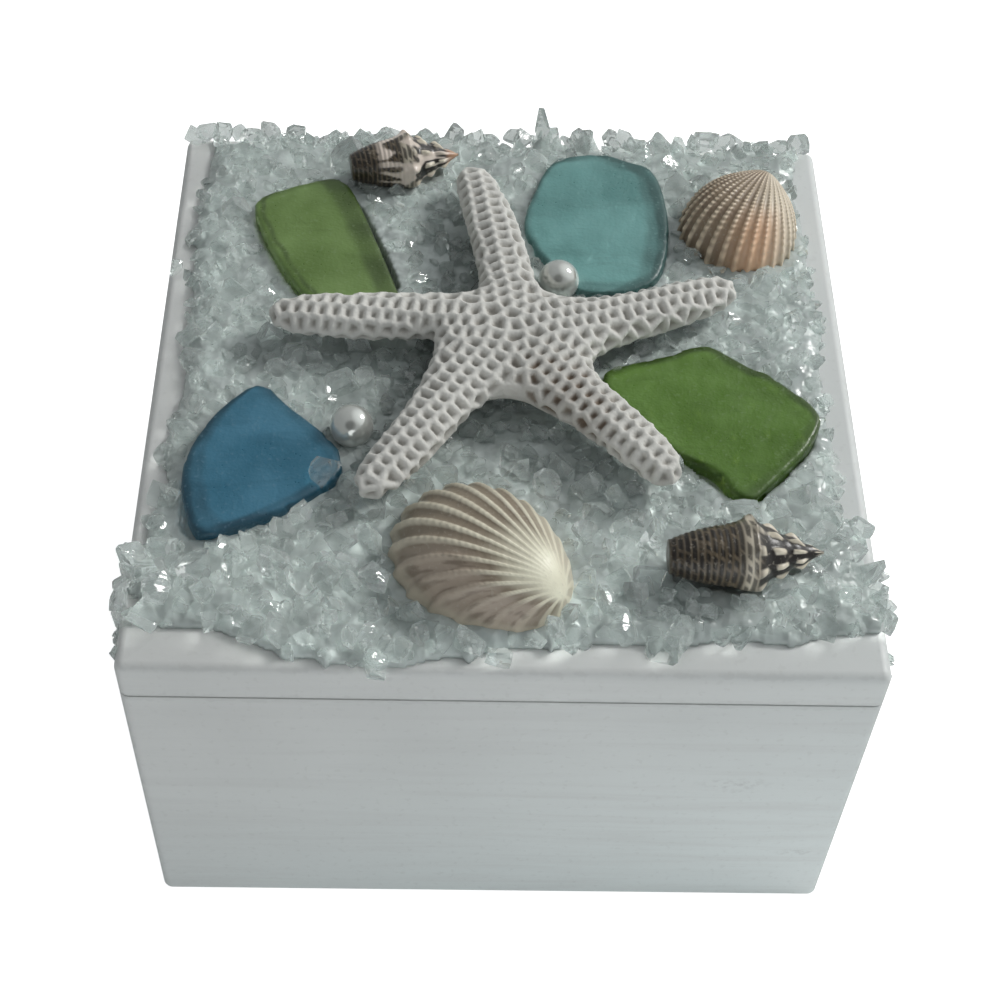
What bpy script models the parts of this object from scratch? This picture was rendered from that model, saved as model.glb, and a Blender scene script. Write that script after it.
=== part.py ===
"""Square white wooden trinket box. Its lid carries a bed of crushed clear glass that holds a starfish,
four pieces of sea glass, two pearls, two cockle shells and two whelk shells.

Metres, +Z up. The origin is the middle of the underside, the front faces -Y and X runs to the right.
"""

import math
import random

import bmesh
import bpy
from mathutils import Vector

# Wooden box and lid
BOX_SIDE = 0.102
BODY_HEIGHT = 0.0562
WALL = 0.0060
FLOOR = 0.0050
CORNER_RADIUS = 0.0014
BOTTOM_EDGE_RADIUS = 0.0006
LID_BOARD = 0.0066
LID_EDGE_RADIUS = 0.0017
LID_STEP_DEPTH = 0.0032
LID_STEP_CLEARANCE = 0.0005

# Clearance between two pieces that touch, and round a piece that is set in the glass bed, the step by
# which a piece slides outward over the lid while it would lie on its neighbour, and how far a cutter
# reaches past what it cuts
CONTACT_GAP = 0.0003
POCKET_CLEARANCE = 0.0004
SLIDE_STEP = 0.0002
CUTTER_OVERRUN = 0.0100

# Crushed glass in clear glue, with a film of glue under the pieces that are set in it
BED_HEIGHT = 0.0024
GLUE_FILM = 0.0003
CHIP_RELIEF = 0.0016
CHIP_PITCH = 0.0049
SIDE_MARGIN = 0.0036
FRONT_CORNER_MARGIN = 0.0010
BACK_MARGIN = 0.0012
EDGE_CHIP_SIZE = 0.0032
SPIKE_CHIP_HEIGHT = 0.0085

# Sea glass
GREEN_BACK_THICKNESS = 0.0028
GREEN_FRONT_THICKNESS = 0.0030
AQUA_THICKNESS = 0.0028
BLUE_THICKNESS = 0.0032
SEA_GLASS_EDGE_RADIUS = 0.0008

# Starfish
STAR_REACH = 0.0366
DISC_THICKNESS = 0.0058
ARM_THICKNESS = 0.0046
TIP_THICKNESS = 0.0038
ARM_WIDTH = 0.0070
TIP_WIDTH = 0.0054

# Pearls
PEARL_DIAMETER = 0.0062

# Cockle shells
FRONT_COCKLE_LENGTH = 0.0250
FRONT_COCKLE_WIDTH = 0.0212
FRONT_COCKLE_HEIGHT = 0.0092
BACK_COCKLE_LENGTH = 0.0190
BACK_COCKLE_WIDTH = 0.0178
BACK_COCKLE_HEIGHT = 0.0086
COCKLE_WALL = 0.0010
COCKLE_RIBS = 17
RIB_HEIGHT = 0.0005

# Whelk shells
FRONT_WHELK_LENGTH = 0.0208
FRONT_WHELK_DIAMETER = 0.0096
BACK_WHELK_LENGTH = 0.0170
BACK_WHELK_DIAMETER = 0.0086

# Heights that follow from the sizes above
LID_UNDERSIDE = BODY_HEIGHT + CONTACT_GAP
LID_TOP = LID_UNDERSIDE + LID_BOARD
DECK = LID_TOP + CONTACT_GAP
SEAT = DECK + GLUE_FILM + CONTACT_GAP
THICKEST_UNDER_STAR = max(GREEN_BACK_THICKNESS, GREEN_FRONT_THICKNESS, AQUA_THICKNESS)
STAR_UNDERSIDE = SEAT + THICKEST_UNDER_STAR + CONTACT_GAP

# Where the pieces lie, as shares of the lid's side from its middle (across, toward the back)
STAR_PLACE = (0.006, 0.010)
GREEN_BACK_PLACE = (-0.281, 0.235)
GREEN_FRONT_PLACE = (0.290, -0.107)
AQUA_PLACE = (0.147, 0.295)
BLUE_PLACE = (-0.345, -0.186)
BACK_PEARL_PLACE = (0.081, 0.162)
LEFT_PEARL_PLACE = (-0.211, -0.125)
FRONT_COCKLE_PLACE = (0.066, -0.403)
BACK_COCKLE_PLACE = (0.386, 0.371)
FRONT_WHELK_PLACE = (0.212, -0.351)
BACK_WHELK_PLACE = (-0.233, 0.381)

# Starfish: the notches between its arms and the arms' ends, as a direction in degrees and a share of its reach
STAR_NOTCHES = ((62.0, 0.250), (-17.7, 0.330), (-93.7, 0.275), (168.8, 0.285), (117.5, 0.228))
STAR_ARMS = (
    (99.2, 1.000, -0.030), (171.4, 0.950, 0.010), (234.0, 0.920, 0.025),
    (-46.8, 0.895, 0.025), (20.2, 0.965, -0.020),
)

# Sea glass outlines: the corners of each piece from its place, in shares of its length
GREEN_BACK_LENGTH = 0.0300
GREEN_BACK_CORNERS = ((-0.40, 0.24), (0.09, 0.50), (0.26, 0.28), (0.50, -0.34), (0.02, -0.44), (-0.10, -0.34))
GREEN_FRONT_LENGTH = 0.0340
GREEN_FRONT_CORNERS = (
    (-0.45, 0.22), (-0.15, 0.38), (0.04, 0.42), (0.26, 0.24), (0.47, 0.03),
    (0.42, -0.12), (0.14, -0.43), (0.05, -0.39), (-0.14, -0.18), (-0.42, 0.13),
)
AQUA_LENGTH = 0.0320
AQUA_CORNERS = (
    (-0.36, 0.16), (-0.28, 0.34), (-0.12, 0.45), (0.08, 0.45), (0.30, 0.33), (0.36, 0.02),
    (0.32, -0.30), (0.20, -0.46), (-0.04, -0.45), (-0.08, -0.38), (-0.17, -0.29), (-0.32, -0.26), (-0.37, -0.02),
)
BLUE_LENGTH = 0.0290
BLUE_CORNERS = (
    (0.02, 0.52), (0.17, 0.33), (0.36, 0.19), (0.45, 0.02), (0.38, -0.16), (0.12, -0.33),
    (-0.20, -0.47), (-0.32, -0.36), (-0.33, -0.02), (-0.22, 0.30), (-0.10, 0.44),
)

# How far the glass bed's front edge stands back from the lid's edge, against the place across the lid
FRONT_EDGE_RUN = (
    (-0.50, 0.064), (-0.38, 0.056), (-0.31, 0.020), (-0.26, 0.006), (-0.13, 0.006), (-0.05, 0.016),
    (0.06, 0.030), (0.18, 0.036), (0.21, 0.020), (0.25, 0.040), (0.38, 0.048), (0.50, 0.070),
)


def new_material(name, color, roughness, metallic=0.0, transmission=0.0):
    material = bpy.data.materials.new(name)
    material.use_nodes = True
    shader = material.node_tree.nodes["Principled BSDF"]
    shader.inputs["Base Color"].default_value = (*color, 1.0)
    shader.inputs["Roughness"].default_value = roughness
    shader.inputs["Metallic"].default_value = metallic
    shader.inputs["Transmission Weight"].default_value = transmission
    return material


def add_piece(name, mesh_builder, collection, material=None, parent=None):
    """Turn a finished bmesh into a named object of the collection."""
    bmesh.ops.recalc_face_normals(mesh_builder, faces=mesh_builder.faces)
    mesh = bpy.data.meshes.new(name)
    mesh_builder.to_mesh(mesh)
    mesh_builder.free()
    piece = bpy.data.objects.new(name, mesh)
    collection.objects.link(piece)
    if material is not None:
        mesh.materials.append(material)
    if parent is not None:
        piece.parent = parent
    return piece


def as_cutter(piece):
    piece.hide_render = True
    piece.display_type = "WIRE"
    return piece


def cut(piece, cutter, operation="DIFFERENCE"):
    modifier = piece.modifiers.new(cutter.name, "BOOLEAN")
    modifier.operation = operation
    modifier.solver = "EXACT"
    modifier.object = cutter
    return modifier


def place_on_lid(share):
    return Vector((share[0] * BOX_SIDE, share[1] * BOX_SIDE))


def block(width, depth, bottom, top, shift=(0.0, 0.0)):
    """A rectangular block between two heights, as a bmesh."""
    builder = bmesh.new()
    bmesh.ops.create_cube(builder, size=1.0)
    for vertex in builder.verts:
        vertex.co.x = vertex.co.x * width + shift[0]
        vertex.co.y = vertex.co.y * depth + shift[1]
        vertex.co.z = bottom + (vertex.co.z + 0.5) * (top - bottom)
    return builder


def round_edges(builder, radius, segments, test):
    edges = [edge for edge in builder.edges if test(edge)]
    bmesh.ops.bevel(
        builder,
        geom=edges,
        offset=radius,
        segments=segments,
        affect="EDGES",
        profile=0.5,
        material=-1,
        clamp_overlap=True,
    )


def is_upright(edge):
    run = edge.verts[0].co - edge.verts[1].co
    return abs(run.z) > 10.0 * max(abs(run.x), abs(run.y))


def lies_at(height):
    def test(edge):
        return all(abs(vertex.co.z - height) < 1e-6 for vertex in edge.verts)
    return test


def rounded_corners(corners, rounds=2):
    """Cut the corners of a closed outline again and again, which rounds them."""
    points = list(corners)
    for _ in range(rounds):
        cut_points = []
        for index, point in enumerate(points):
            following = points[(index + 1) % len(points)]
            cut_points.append(point.lerp(following, 0.16))
            cut_points.append(point.lerp(following, 0.84))
        points = cut_points
    return points


def outline_offset(points, distance):
    """Move a closed outline outward by a distance, square to its sides."""
    area = 0.0
    for index, point in enumerate(points):
        following = points[(index + 1) % len(points)]
        area += point.x * following.y - following.x * point.y
    turn = 1.0 if area > 0.0 else -1.0
    moved = []
    for index, point in enumerate(points):
        before = (point - points[index - 1]).normalized()
        after = (points[(index + 1) % len(points)] - point).normalized()
        along = (before + after).normalized()
        outward = Vector((along.y, -along.x)) * turn
        stretch = 1.0 / max(0.5, math.sqrt(max(0.0, (1.0 + before.dot(after)) / 2.0)))
        moved.append(point + outward * distance * stretch)
    return moved


def prism(points, bottom, top):
    """A flat outline raised to a block with upright sides, as a bmesh."""
    builder = bmesh.new()
    ring = [builder.verts.new((point.x, point.y, bottom)) for point in points]
    base = bmesh.ops.contextual_create(builder, geom=ring)["faces"]
    raised = bmesh.ops.extrude_face_region(builder, geom=base)["geom"]
    lifted = [item for item in raised if isinstance(item, bmesh.types.BMVert)]
    bmesh.ops.translate(builder, verts=lifted, vec=(0.0, 0.0, top - bottom))
    return builder


def sea_glass_outline(middle, length, corners):
    spread = [Vector((middle.x + x * length, middle.y + y * length)) for x, y in corners]
    return rounded_corners(spread, 2 if len(spread) < 8 else 1)


def sea_glass(name, outline, thickness, collection, material, parent):
    """A tumbled shard: its flat outline with both rims worn round."""
    builder = prism(outline, SEAT, SEAT + thickness)
    bmesh.ops.recalc_face_normals(builder, faces=builder.faces)
    radius = min(SEA_GLASS_EDGE_RADIUS, 0.45 * thickness)
    round_edges(builder, radius, 2, lies_at(SEAT))
    round_edges(builder, radius, 2, lies_at(SEAT + thickness))
    piece = add_piece(name, builder, collection, material, parent)
    piece.data.shade_smooth()
    piece.data.set_sharp_from_angle(angle=math.radians(40.0))
    return piece


def star_point(direction, share):
    middle = place_on_lid(STAR_PLACE)
    angle = math.radians(direction)
    reach = STAR_REACH * share
    return Vector((middle.x + reach * math.cos(angle), middle.y + reach * math.sin(angle)))


def star_arm_sections():
    """For each arm: its notches, and the middle, half width, thickness and heading of sections along it."""
    notches = [star_point(direction, share) for direction, share in STAR_NOTCHES]
    arms = []
    for index, (direction, share, bow) in enumerate(STAR_ARMS):
        pair = (notches[-index], notches[4 - index])
        root = (pair[0] + pair[1]) / 2.0
        tip = star_point(direction, share)
        heading = (tip - root).normalized()
        across = Vector((-heading.y, heading.x))
        run = (tip - root).length
        sections = []
        for share_out, width, thickness in (
            (0.22, ARM_WIDTH * 1.10, (DISC_THICKNESS + ARM_THICKNESS) / 2.0),
            (0.66, ARM_WIDTH, ARM_THICKNESS),
            (1.05, TIP_WIDTH, TIP_THICKNESS),
        ):
            middle = root + heading * run * share_out + across * STAR_REACH * bow * math.sin(math.pi * share_out)
            sections.append((middle, width / 2.0, thickness))
        arms.append((pair, heading, across, sections))
    return arms


def starfish(name, collection, material, parent):
    """A five-sided disc whose sides are drawn out to arms, smoothed to round limbs."""
    arms = star_arm_sections()
    notches = [star_point(direction, share) for direction, share in STAR_NOTCHES]
    builder = prism(notches, STAR_UNDERSIDE, STAR_UNDERSIDE + DISC_THICKNESS * 1.08)
    bmesh.ops.recalc_face_normals(builder, faces=builder.faces)
    smoothing_growth = 1.09
    for pair, heading, across, sections in arms:
        middle = (pair[0] + pair[1]) / 2.0
        sides = [face for face in builder.faces if abs(face.normal.z) < 0.5]
        side = min(sides, key=lambda face: (face.calc_center_median().xy - middle).length)
        for centre, half_width, thickness in sections:
            made = bmesh.ops.extrude_discrete_faces(builder, faces=[side])["faces"]
            side = made[0]
            for vertex in side.verts:
                left = (vertex.co.xy - centre).dot(across) > 0.0
                upper = vertex.co.z > STAR_UNDERSIDE + DISC_THICKNESS * 0.3
                flat = centre + across * half_width * smoothing_growth * (1.0 if left else -1.0)
                height = thickness * smoothing_growth if upper else 0.0
                vertex.co = Vector((flat.x, flat.y, STAR_UNDERSIDE + height))
    bmesh.ops.remove_doubles(builder, verts=builder.verts, dist=1e-6)
    piece = add_piece(name, builder, collection, material, parent)
    smooth = piece.modifiers.new("Rounded limbs", "SUBSURF")
    smooth.levels = 2
    smooth.render_levels = 2
    piece.data.shade_smooth()
    return piece


def pearl_outline(centre):
    ring = []
    for number in range(16):
        angle = 2.0 * math.pi * number / 16.0
        ring.append(centre + Vector((math.cos(angle), math.sin(angle))) * PEARL_DIAMETER / 2.0)
    return ring


def pearl(name, centre, collection, material, parent):
    builder = bmesh.new()
    bmesh.ops.create_uvsphere(builder, u_segments=14, v_segments=7, radius=PEARL_DIAMETER / 2.0)
    piece = add_piece(name, builder, collection, material, parent)
    piece.location = (centre.x, centre.y, SEAT + PEARL_DIAMETER / 2.0)
    piece.data.shade_smooth()
    return piece


def cockle_ring(beak, heading, length, width, height, growth, columns, ribs):
    """One growth line of a cockle: a closed ring round the beak, grown by a share of the full shell."""
    angle = math.radians(heading)
    forward = Vector((math.cos(angle), math.sin(angle), 0.0))
    across = Vector((-forward.y, forward.x, 0.0))
    ring = []
    for column in range(columns):
        turn = 2.0 * math.pi * column / columns
        broad = 1.0 - 0.12 * math.cos(turn)
        out = (0.47 - 0.53 * math.cos(turn)) * length
        aside = 0.5 * width * math.sin(turn) * broad
        rib = 0.0
        if ribs:
            fan = max(0.0, 1.0 - math.exp(-6.0 * (1.0 - math.cos(turn)) / 2.0))
            rib = RIB_HEIGHT * (0.35 + 0.65 * growth) * fan * (1.0 if column % 2 else -1.0)
        dome = math.sqrt(max(0.0, 1.0 - growth ** 2.1)) * (1.0 - 0.34 * (1.0 - growth) ** 2)
        swell = 1.0 + rib / math.hypot(out, aside)
        flat = beak.to_3d() + (forward * out + across * aside) * growth * swell
        ring.append(Vector((flat.x, flat.y, SEAT + dome * height * 1.22 * (1.0 + 0.5 * rib / height))))
    return ring


def cockle_columns():
    return 2 * COCKLE_RIBS + 8


def cockle_wall_ring(beak, heading, length, width, height, growth, columns):
    """The inner side of one growth line: smooth, and a wall's thickness inside and below the outer side."""
    angle = math.radians(heading)
    forward = Vector((math.cos(angle), math.sin(angle), 0.0))
    middle = beak.to_3d() + forward * 0.47 * length * growth
    ring = []
    for point in cockle_ring(beak, heading, length, width, height, growth, columns, False):
        out = Vector((point.x - middle.x, point.y - middle.y, 0.0))
        inner = middle + out * max(0.15, 1.0 - COCKLE_WALL / out.length)
        ring.append(Vector((inner.x, inner.y, max(SEAT, point.z - COCKLE_WALL))))
    return ring


def next_ring(builder, ring, places):
    """Extrude a closed ring of vertices to new places, and return the new ring."""
    edges = [builder.edges.get((ring[index - 1], ring[index])) for index in range(len(ring))]
    made = bmesh.ops.extrude_edge_only(builder, edges=edges)["geom"]
    fresh = {item for item in made if isinstance(item, bmesh.types.BMVert)}
    following = []
    for vertex, place in zip(ring, places):
        others = [edge.other_vert(vertex) for edge in vertex.link_edges]
        grown = next(other for other in others if other in fresh)
        grown.co = place
        following.append(grown)
    return following


def cockle(name, place, heading, length, width, height, collection, material, parent):
    """A ribbed shell half, grown ring by ring from its beak to its rim and back along its inner side."""
    columns = cockle_columns()
    shell = (place, heading, length, width, height)
    builder = bmesh.new()
    ring = [builder.verts.new(point) for point in cockle_ring(*shell, 0.10, columns, False)]
    bmesh.ops.contextual_create(builder, geom=ring)
    for growth in (0.30, 0.54, 0.78, 0.94, 1.0):
        ring = next_ring(builder, ring, cockle_ring(*shell, growth, columns, True))
    for growth in (1.0, 0.86, 0.56, 0.28):
        ring = next_ring(builder, ring, cockle_wall_ring(*shell, growth, columns))
    rim = [builder.edges.get((ring[index - 1], ring[index])) for index in range(columns)]
    bmesh.ops.contextual_create(builder, geom=rim)
    piece = add_piece(name, builder, collection, material, parent)
    piece.data.shade_smooth()
    return piece


def whelk_radius(share, turn, diameter):
    """Radius of a whelk at a share of its length from the tip of its spire, and a turn round its axis."""
    spire = 0.86 * min(1.0, share / 0.46) ** 0.92
    whorl = 0.5 * (1.0 + math.cos(2.0 * math.pi * (share * 7.0 + turn)))
    step = 1.0 - 0.13 * whorl * max(0.0, 1.0 - share / 0.50)
    body = 1.0
    if share > 0.50:
        fall = (share - 0.50) / 0.50
        body = 1.0 - 0.62 * fall ** 1.7
    shoulder = 1.0 + 0.16 * math.exp(-((share - 0.47) / 0.10) ** 2)
    return 0.5 * diameter * max(0.06, spire * step * body * shoulder)


def whelk_frame(heading):
    angle = math.radians(heading)
    along = Vector((math.cos(angle), math.sin(angle), 0.0))
    across = Vector((-along.y, along.x, 0.0))
    return along, across


def whelk(name, place, heading, length, diameter, collection, material, parent):
    """A small whelk lying on its side: rings round its axis, whose steps climb as a spiral."""
    along, across = whelk_frame(heading)
    rings = 14
    sides = 13
    builder = bmesh.new()
    bmesh.ops.create_grid(builder, x_segments=sides, y_segments=rings, size=0.5)
    upward = Vector((0.0, 0.0, 1.0))
    for vertex in builder.verts:
        turn = vertex.co.x + 0.5
        share = vertex.co.y + 0.5
        radius = whelk_radius(1.0 - share, turn % 1.0, diameter)
        angle = 2.0 * math.pi * turn
        side = across * math.cos(angle) + upward * math.sin(angle)
        axis_height = SEAT + diameter * 0.5
        centre = Vector((place.x, place.y, axis_height)) + along * length * share
        vertex.co = centre + side * radius
    bmesh.ops.remove_doubles(builder, verts=builder.verts, dist=1e-6)
    ends = [edge for edge in builder.edges if edge.is_boundary]
    bmesh.ops.holes_fill(builder, edges=ends, sides=sides)
    for vertex in builder.verts:
        vertex.co.z = max(vertex.co.z, SEAT)
    piece = add_piece(name, builder, collection, material, parent)
    piece.data.shade_smooth()
    return piece


def whelk_outline(place, heading, length, diameter):
    """The whelk's outline seen from above, for the pocket that it lies in."""
    along, across = whelk_frame(heading)
    shares = (0.0, 0.2, 0.42, 0.54, 0.72, 0.9, 1.0)
    points = []
    for side, run in ((1.0, shares), (-1.0, tuple(reversed(shares)))):
        for share in run:
            radius = max(whelk_radius(1.0 - share, turn / 8.0, diameter) for turn in range(8))
            flat = place.to_3d() + along * length * share + across * radius * side
            points.append(Vector((flat.x, flat.y)))
    return points


def distance_to_run(point, start, end):
    run = end - start
    share = max(0.0, min(1.0, (point - start).dot(run) / max(1e-12, run.length_squared)))
    return (point - start - run * share).length


def shared_room(first, second):
    """The least distance between two closed outlines on the lid, or zero where one lies on the other."""
    for points, other in ((first, second), (second, first)):
        if holds(other, points[0]):
            return 0.0
    least = math.inf
    for points, other in ((first, second), (second, first)):
        for point in points:
            for index, start in enumerate(other):
                least = min(least, distance_to_run(point, start, other[index - 1]))
    return least


def holds(outline, point):
    """Whether a closed outline holds a point: it crosses the line to the right an odd number of times."""
    inside = False
    for index, start in enumerate(outline):
        end = outline[index - 1]
        if (start.y > point.y) != (end.y > point.y):
            share = (point.y - start.y) / (end.y - start.y)
            if point.x < start.x + share * (end.x - start.x):
                inside = not inside
    return inside


def slide_clear(outline_at, place, laid):
    """Slide a piece outward from the lid's middle until it lies clear of the pieces already laid."""
    toward = place.normalized()
    outline = outline_at(place)
    while any(shared_room(outline, other) < 2.0 * CONTACT_GAP for other in laid):
        place = place + toward * SLIDE_STEP
        outline = outline_at(place)
    laid.append(outline)
    return place, outline


def arm_outlines(arms):
    """Each arm of the starfish seen from above, as a closed outline."""
    outlines = []
    for pair, heading, across, sections in arms:
        left = [pair[0]] + [middle + across * half for middle, half, _ in sections]
        right = [pair[1]] + [middle - across * half for middle, half, _ in sections]
        if (pair[0] - pair[1]).dot(across) < 0.0:
            left[0], right[0] = right[0], left[0]
        outlines.append(left + right[::-1])
    return outlines


def under_star(point, arms):
    """Whether a spot on the lid lies under the starfish, with room for one step of the chips round it."""
    middle = place_on_lid(STAR_PLACE)
    if (point - middle).length < STAR_REACH * 0.29 + CHIP_PITCH * 1.5:
        return True
    for pair, heading, across, sections in arms:
        line = [(pair[0] + pair[1]) / 2.0] + [section[0] for section in sections]
        for index in range(len(line) - 1):
            if distance_to_run(point, line[index], line[index + 1]) < ARM_WIDTH * 0.62 + CHIP_PITCH * 1.5:
                return True
    return False


def front_edge(share):
    """How far the bed's front edge stands back from the lid's, in metres."""
    for index in range(len(FRONT_EDGE_RUN) - 1):
        left, right = FRONT_EDGE_RUN[index], FRONT_EDGE_RUN[index + 1]
        if share <= right[0]:
            blend = (share - left[0]) / (right[0] - left[0])
            return BOX_SIDE * (left[1] + (right[1] - left[1]) * max(0.0, blend))
    return BOX_SIDE * FRONT_EDGE_RUN[-1][1]


def side_edge(share):
    """How far the bed's side edges stand back from the lid's: less toward the front corners."""
    blend = max(0.0, min(1.0, (share + 0.33) / 0.12))
    return FRONT_CORNER_MARGIN + (SIDE_MARGIN - FRONT_CORNER_MARGIN) * blend


def glass_bed(name, collection, material, parent):
    """Crushed glass in glue: a slab with an uneven rim, whose top is broken up like a layer of chips."""
    dice = random.Random(4127)
    half = BOX_SIDE / 2.0
    width = BOX_SIDE - 2.0 * SIDE_MARGIN
    steps_across = max(8, round(width / CHIP_PITCH))
    steps_back = max(8, round((BOX_SIDE - BACK_MARGIN) / CHIP_PITCH))
    arms = star_arm_sections()
    star_cap = STAR_UNDERSIDE - CONTACT_GAP
    builder = bmesh.new()
    bmesh.ops.create_grid(builder, x_segments=steps_across, y_segments=steps_back, size=0.5)
    for vertex in builder.verts:
        share_across = vertex.co.x + 0.5
        share_back = vertex.co.y + 0.5
        on_rim = vertex.is_boundary
        front = -half + front_edge(share_across - 0.5)
        back = half - BACK_MARGIN
        y = front + (back - front) * share_back
        reach = half - side_edge(y / BOX_SIDE)
        x = reach * (2.0 * share_across - 1.0)
        wander = 0.20 if on_rim else 0.30
        x += dice.uniform(-wander, wander) * CHIP_PITCH
        y += dice.uniform(-wander, wander) * CHIP_PITCH
        rise = dice.uniform(-0.5, 0.5) * CHIP_RELIEF * (1.0 if dice.random() < 0.75 else 1.7)
        height = DECK + BED_HEIGHT + rise
        if on_rim:
            height = DECK + BED_HEIGHT * dice.uniform(0.35, 0.75)
        if under_star(Vector((x, y)), arms):
            height = min(height + 0.25 * BED_HEIGHT, star_cap)
        vertex.co = Vector((x, y, height))
    top = builder.faces[:]
    bmesh.ops.triangulate(builder, faces=top)
    lower = bmesh.ops.extrude_face_region(builder, geom=builder.faces[:])["geom"]
    dropped = [item for item in lower if isinstance(item, bmesh.types.BMVert)]
    for vertex in dropped:
        vertex.co.z = DECK
    flat = [item for item in lower if isinstance(item, bmesh.types.BMFace)]
    bmesh.ops.dissolve_faces(builder, faces=flat)
    bmesh.ops.triangulate(builder, faces=[face for face in builder.faces if len(face.verts) > 4])
    return add_piece(name, builder, collection, material, parent)


def chip(centre, size, dice, stretch=1.0):
    """One lump of broken glass: a ball of twenty faces, knocked out of shape and turned about."""
    builder = bmesh.new()
    bmesh.ops.create_icosphere(builder, subdivisions=1, radius=size / 2.0)
    turn = dice.uniform(0.0, math.pi)
    for vertex in builder.verts:
        spot = vertex.co * dice.uniform(0.80, 1.12)
        flat = Vector((
            spot.x * math.cos(turn) - spot.y * math.sin(turn),
            spot.x * math.sin(turn) + spot.y * math.cos(turn),
        ))
        vertex.co = Vector((flat.x, flat.y * 0.8, spot.z * stretch)) + centre
    return builder


def edge_chips(collection):
    """The chips that hang over the lid's edges and stand up at its back, as one mesh of separate lumps."""
    dice = random.Random(733)
    half = BOX_SIDE / 2.0
    low = DECK + EDGE_CHIP_SIZE * 0.10
    spots = []
    overhang = 0.30 * EDGE_CHIP_SIZE
    for share in (-0.420, -0.382, -0.340, -0.312):
        spots.append(Vector((-half - overhang + 0.5 * EDGE_CHIP_SIZE, share * BOX_SIDE, low)))
    for share in (-0.416, -0.372, -0.335):
        spots.append(Vector((half + overhang - 0.5 * EDGE_CHIP_SIZE, share * BOX_SIDE, low)))
    spots.append(Vector((-half + SIDE_MARGIN * 0.85, 0.262 * BOX_SIDE, low)))
    for share in (-0.285, -0.228, -0.160, -0.045, 0.060, 0.195):
        drop = -half + front_edge(share) + EDGE_CHIP_SIZE * 0.15
        spots.append(Vector((share * BOX_SIDE, drop, DECK + BED_HEIGHT * 0.6)))
    for share in (-0.455, -0.330, -0.215, -0.120, -0.020, 0.130, 0.250, 0.375, 0.460):
        spots.append(Vector((share * BOX_SIDE, half - BACK_MARGIN, DECK + BED_HEIGHT * 0.8)))
    chips = []
    for number, spot in enumerate(spots):
        builder = chip(spot, EDGE_CHIP_SIZE * dice.uniform(0.9, 1.25), dice)
        piece = add_piece("edge_chip_%02d" % number, builder, collection)
        chips.append(as_cutter(piece))
    spike_base = Vector((0.063 * BOX_SIDE, half - BACK_MARGIN * 1.5, DECK + SPIKE_CHIP_HEIGHT * 0.45))
    stretch = SPIKE_CHIP_HEIGHT / EDGE_CHIP_SIZE
    builder = chip(spike_base, EDGE_CHIP_SIZE, dice, stretch=stretch)
    chips.append(as_cutter(add_piece("spike_chip", builder, collection)))
    return chips


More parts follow.
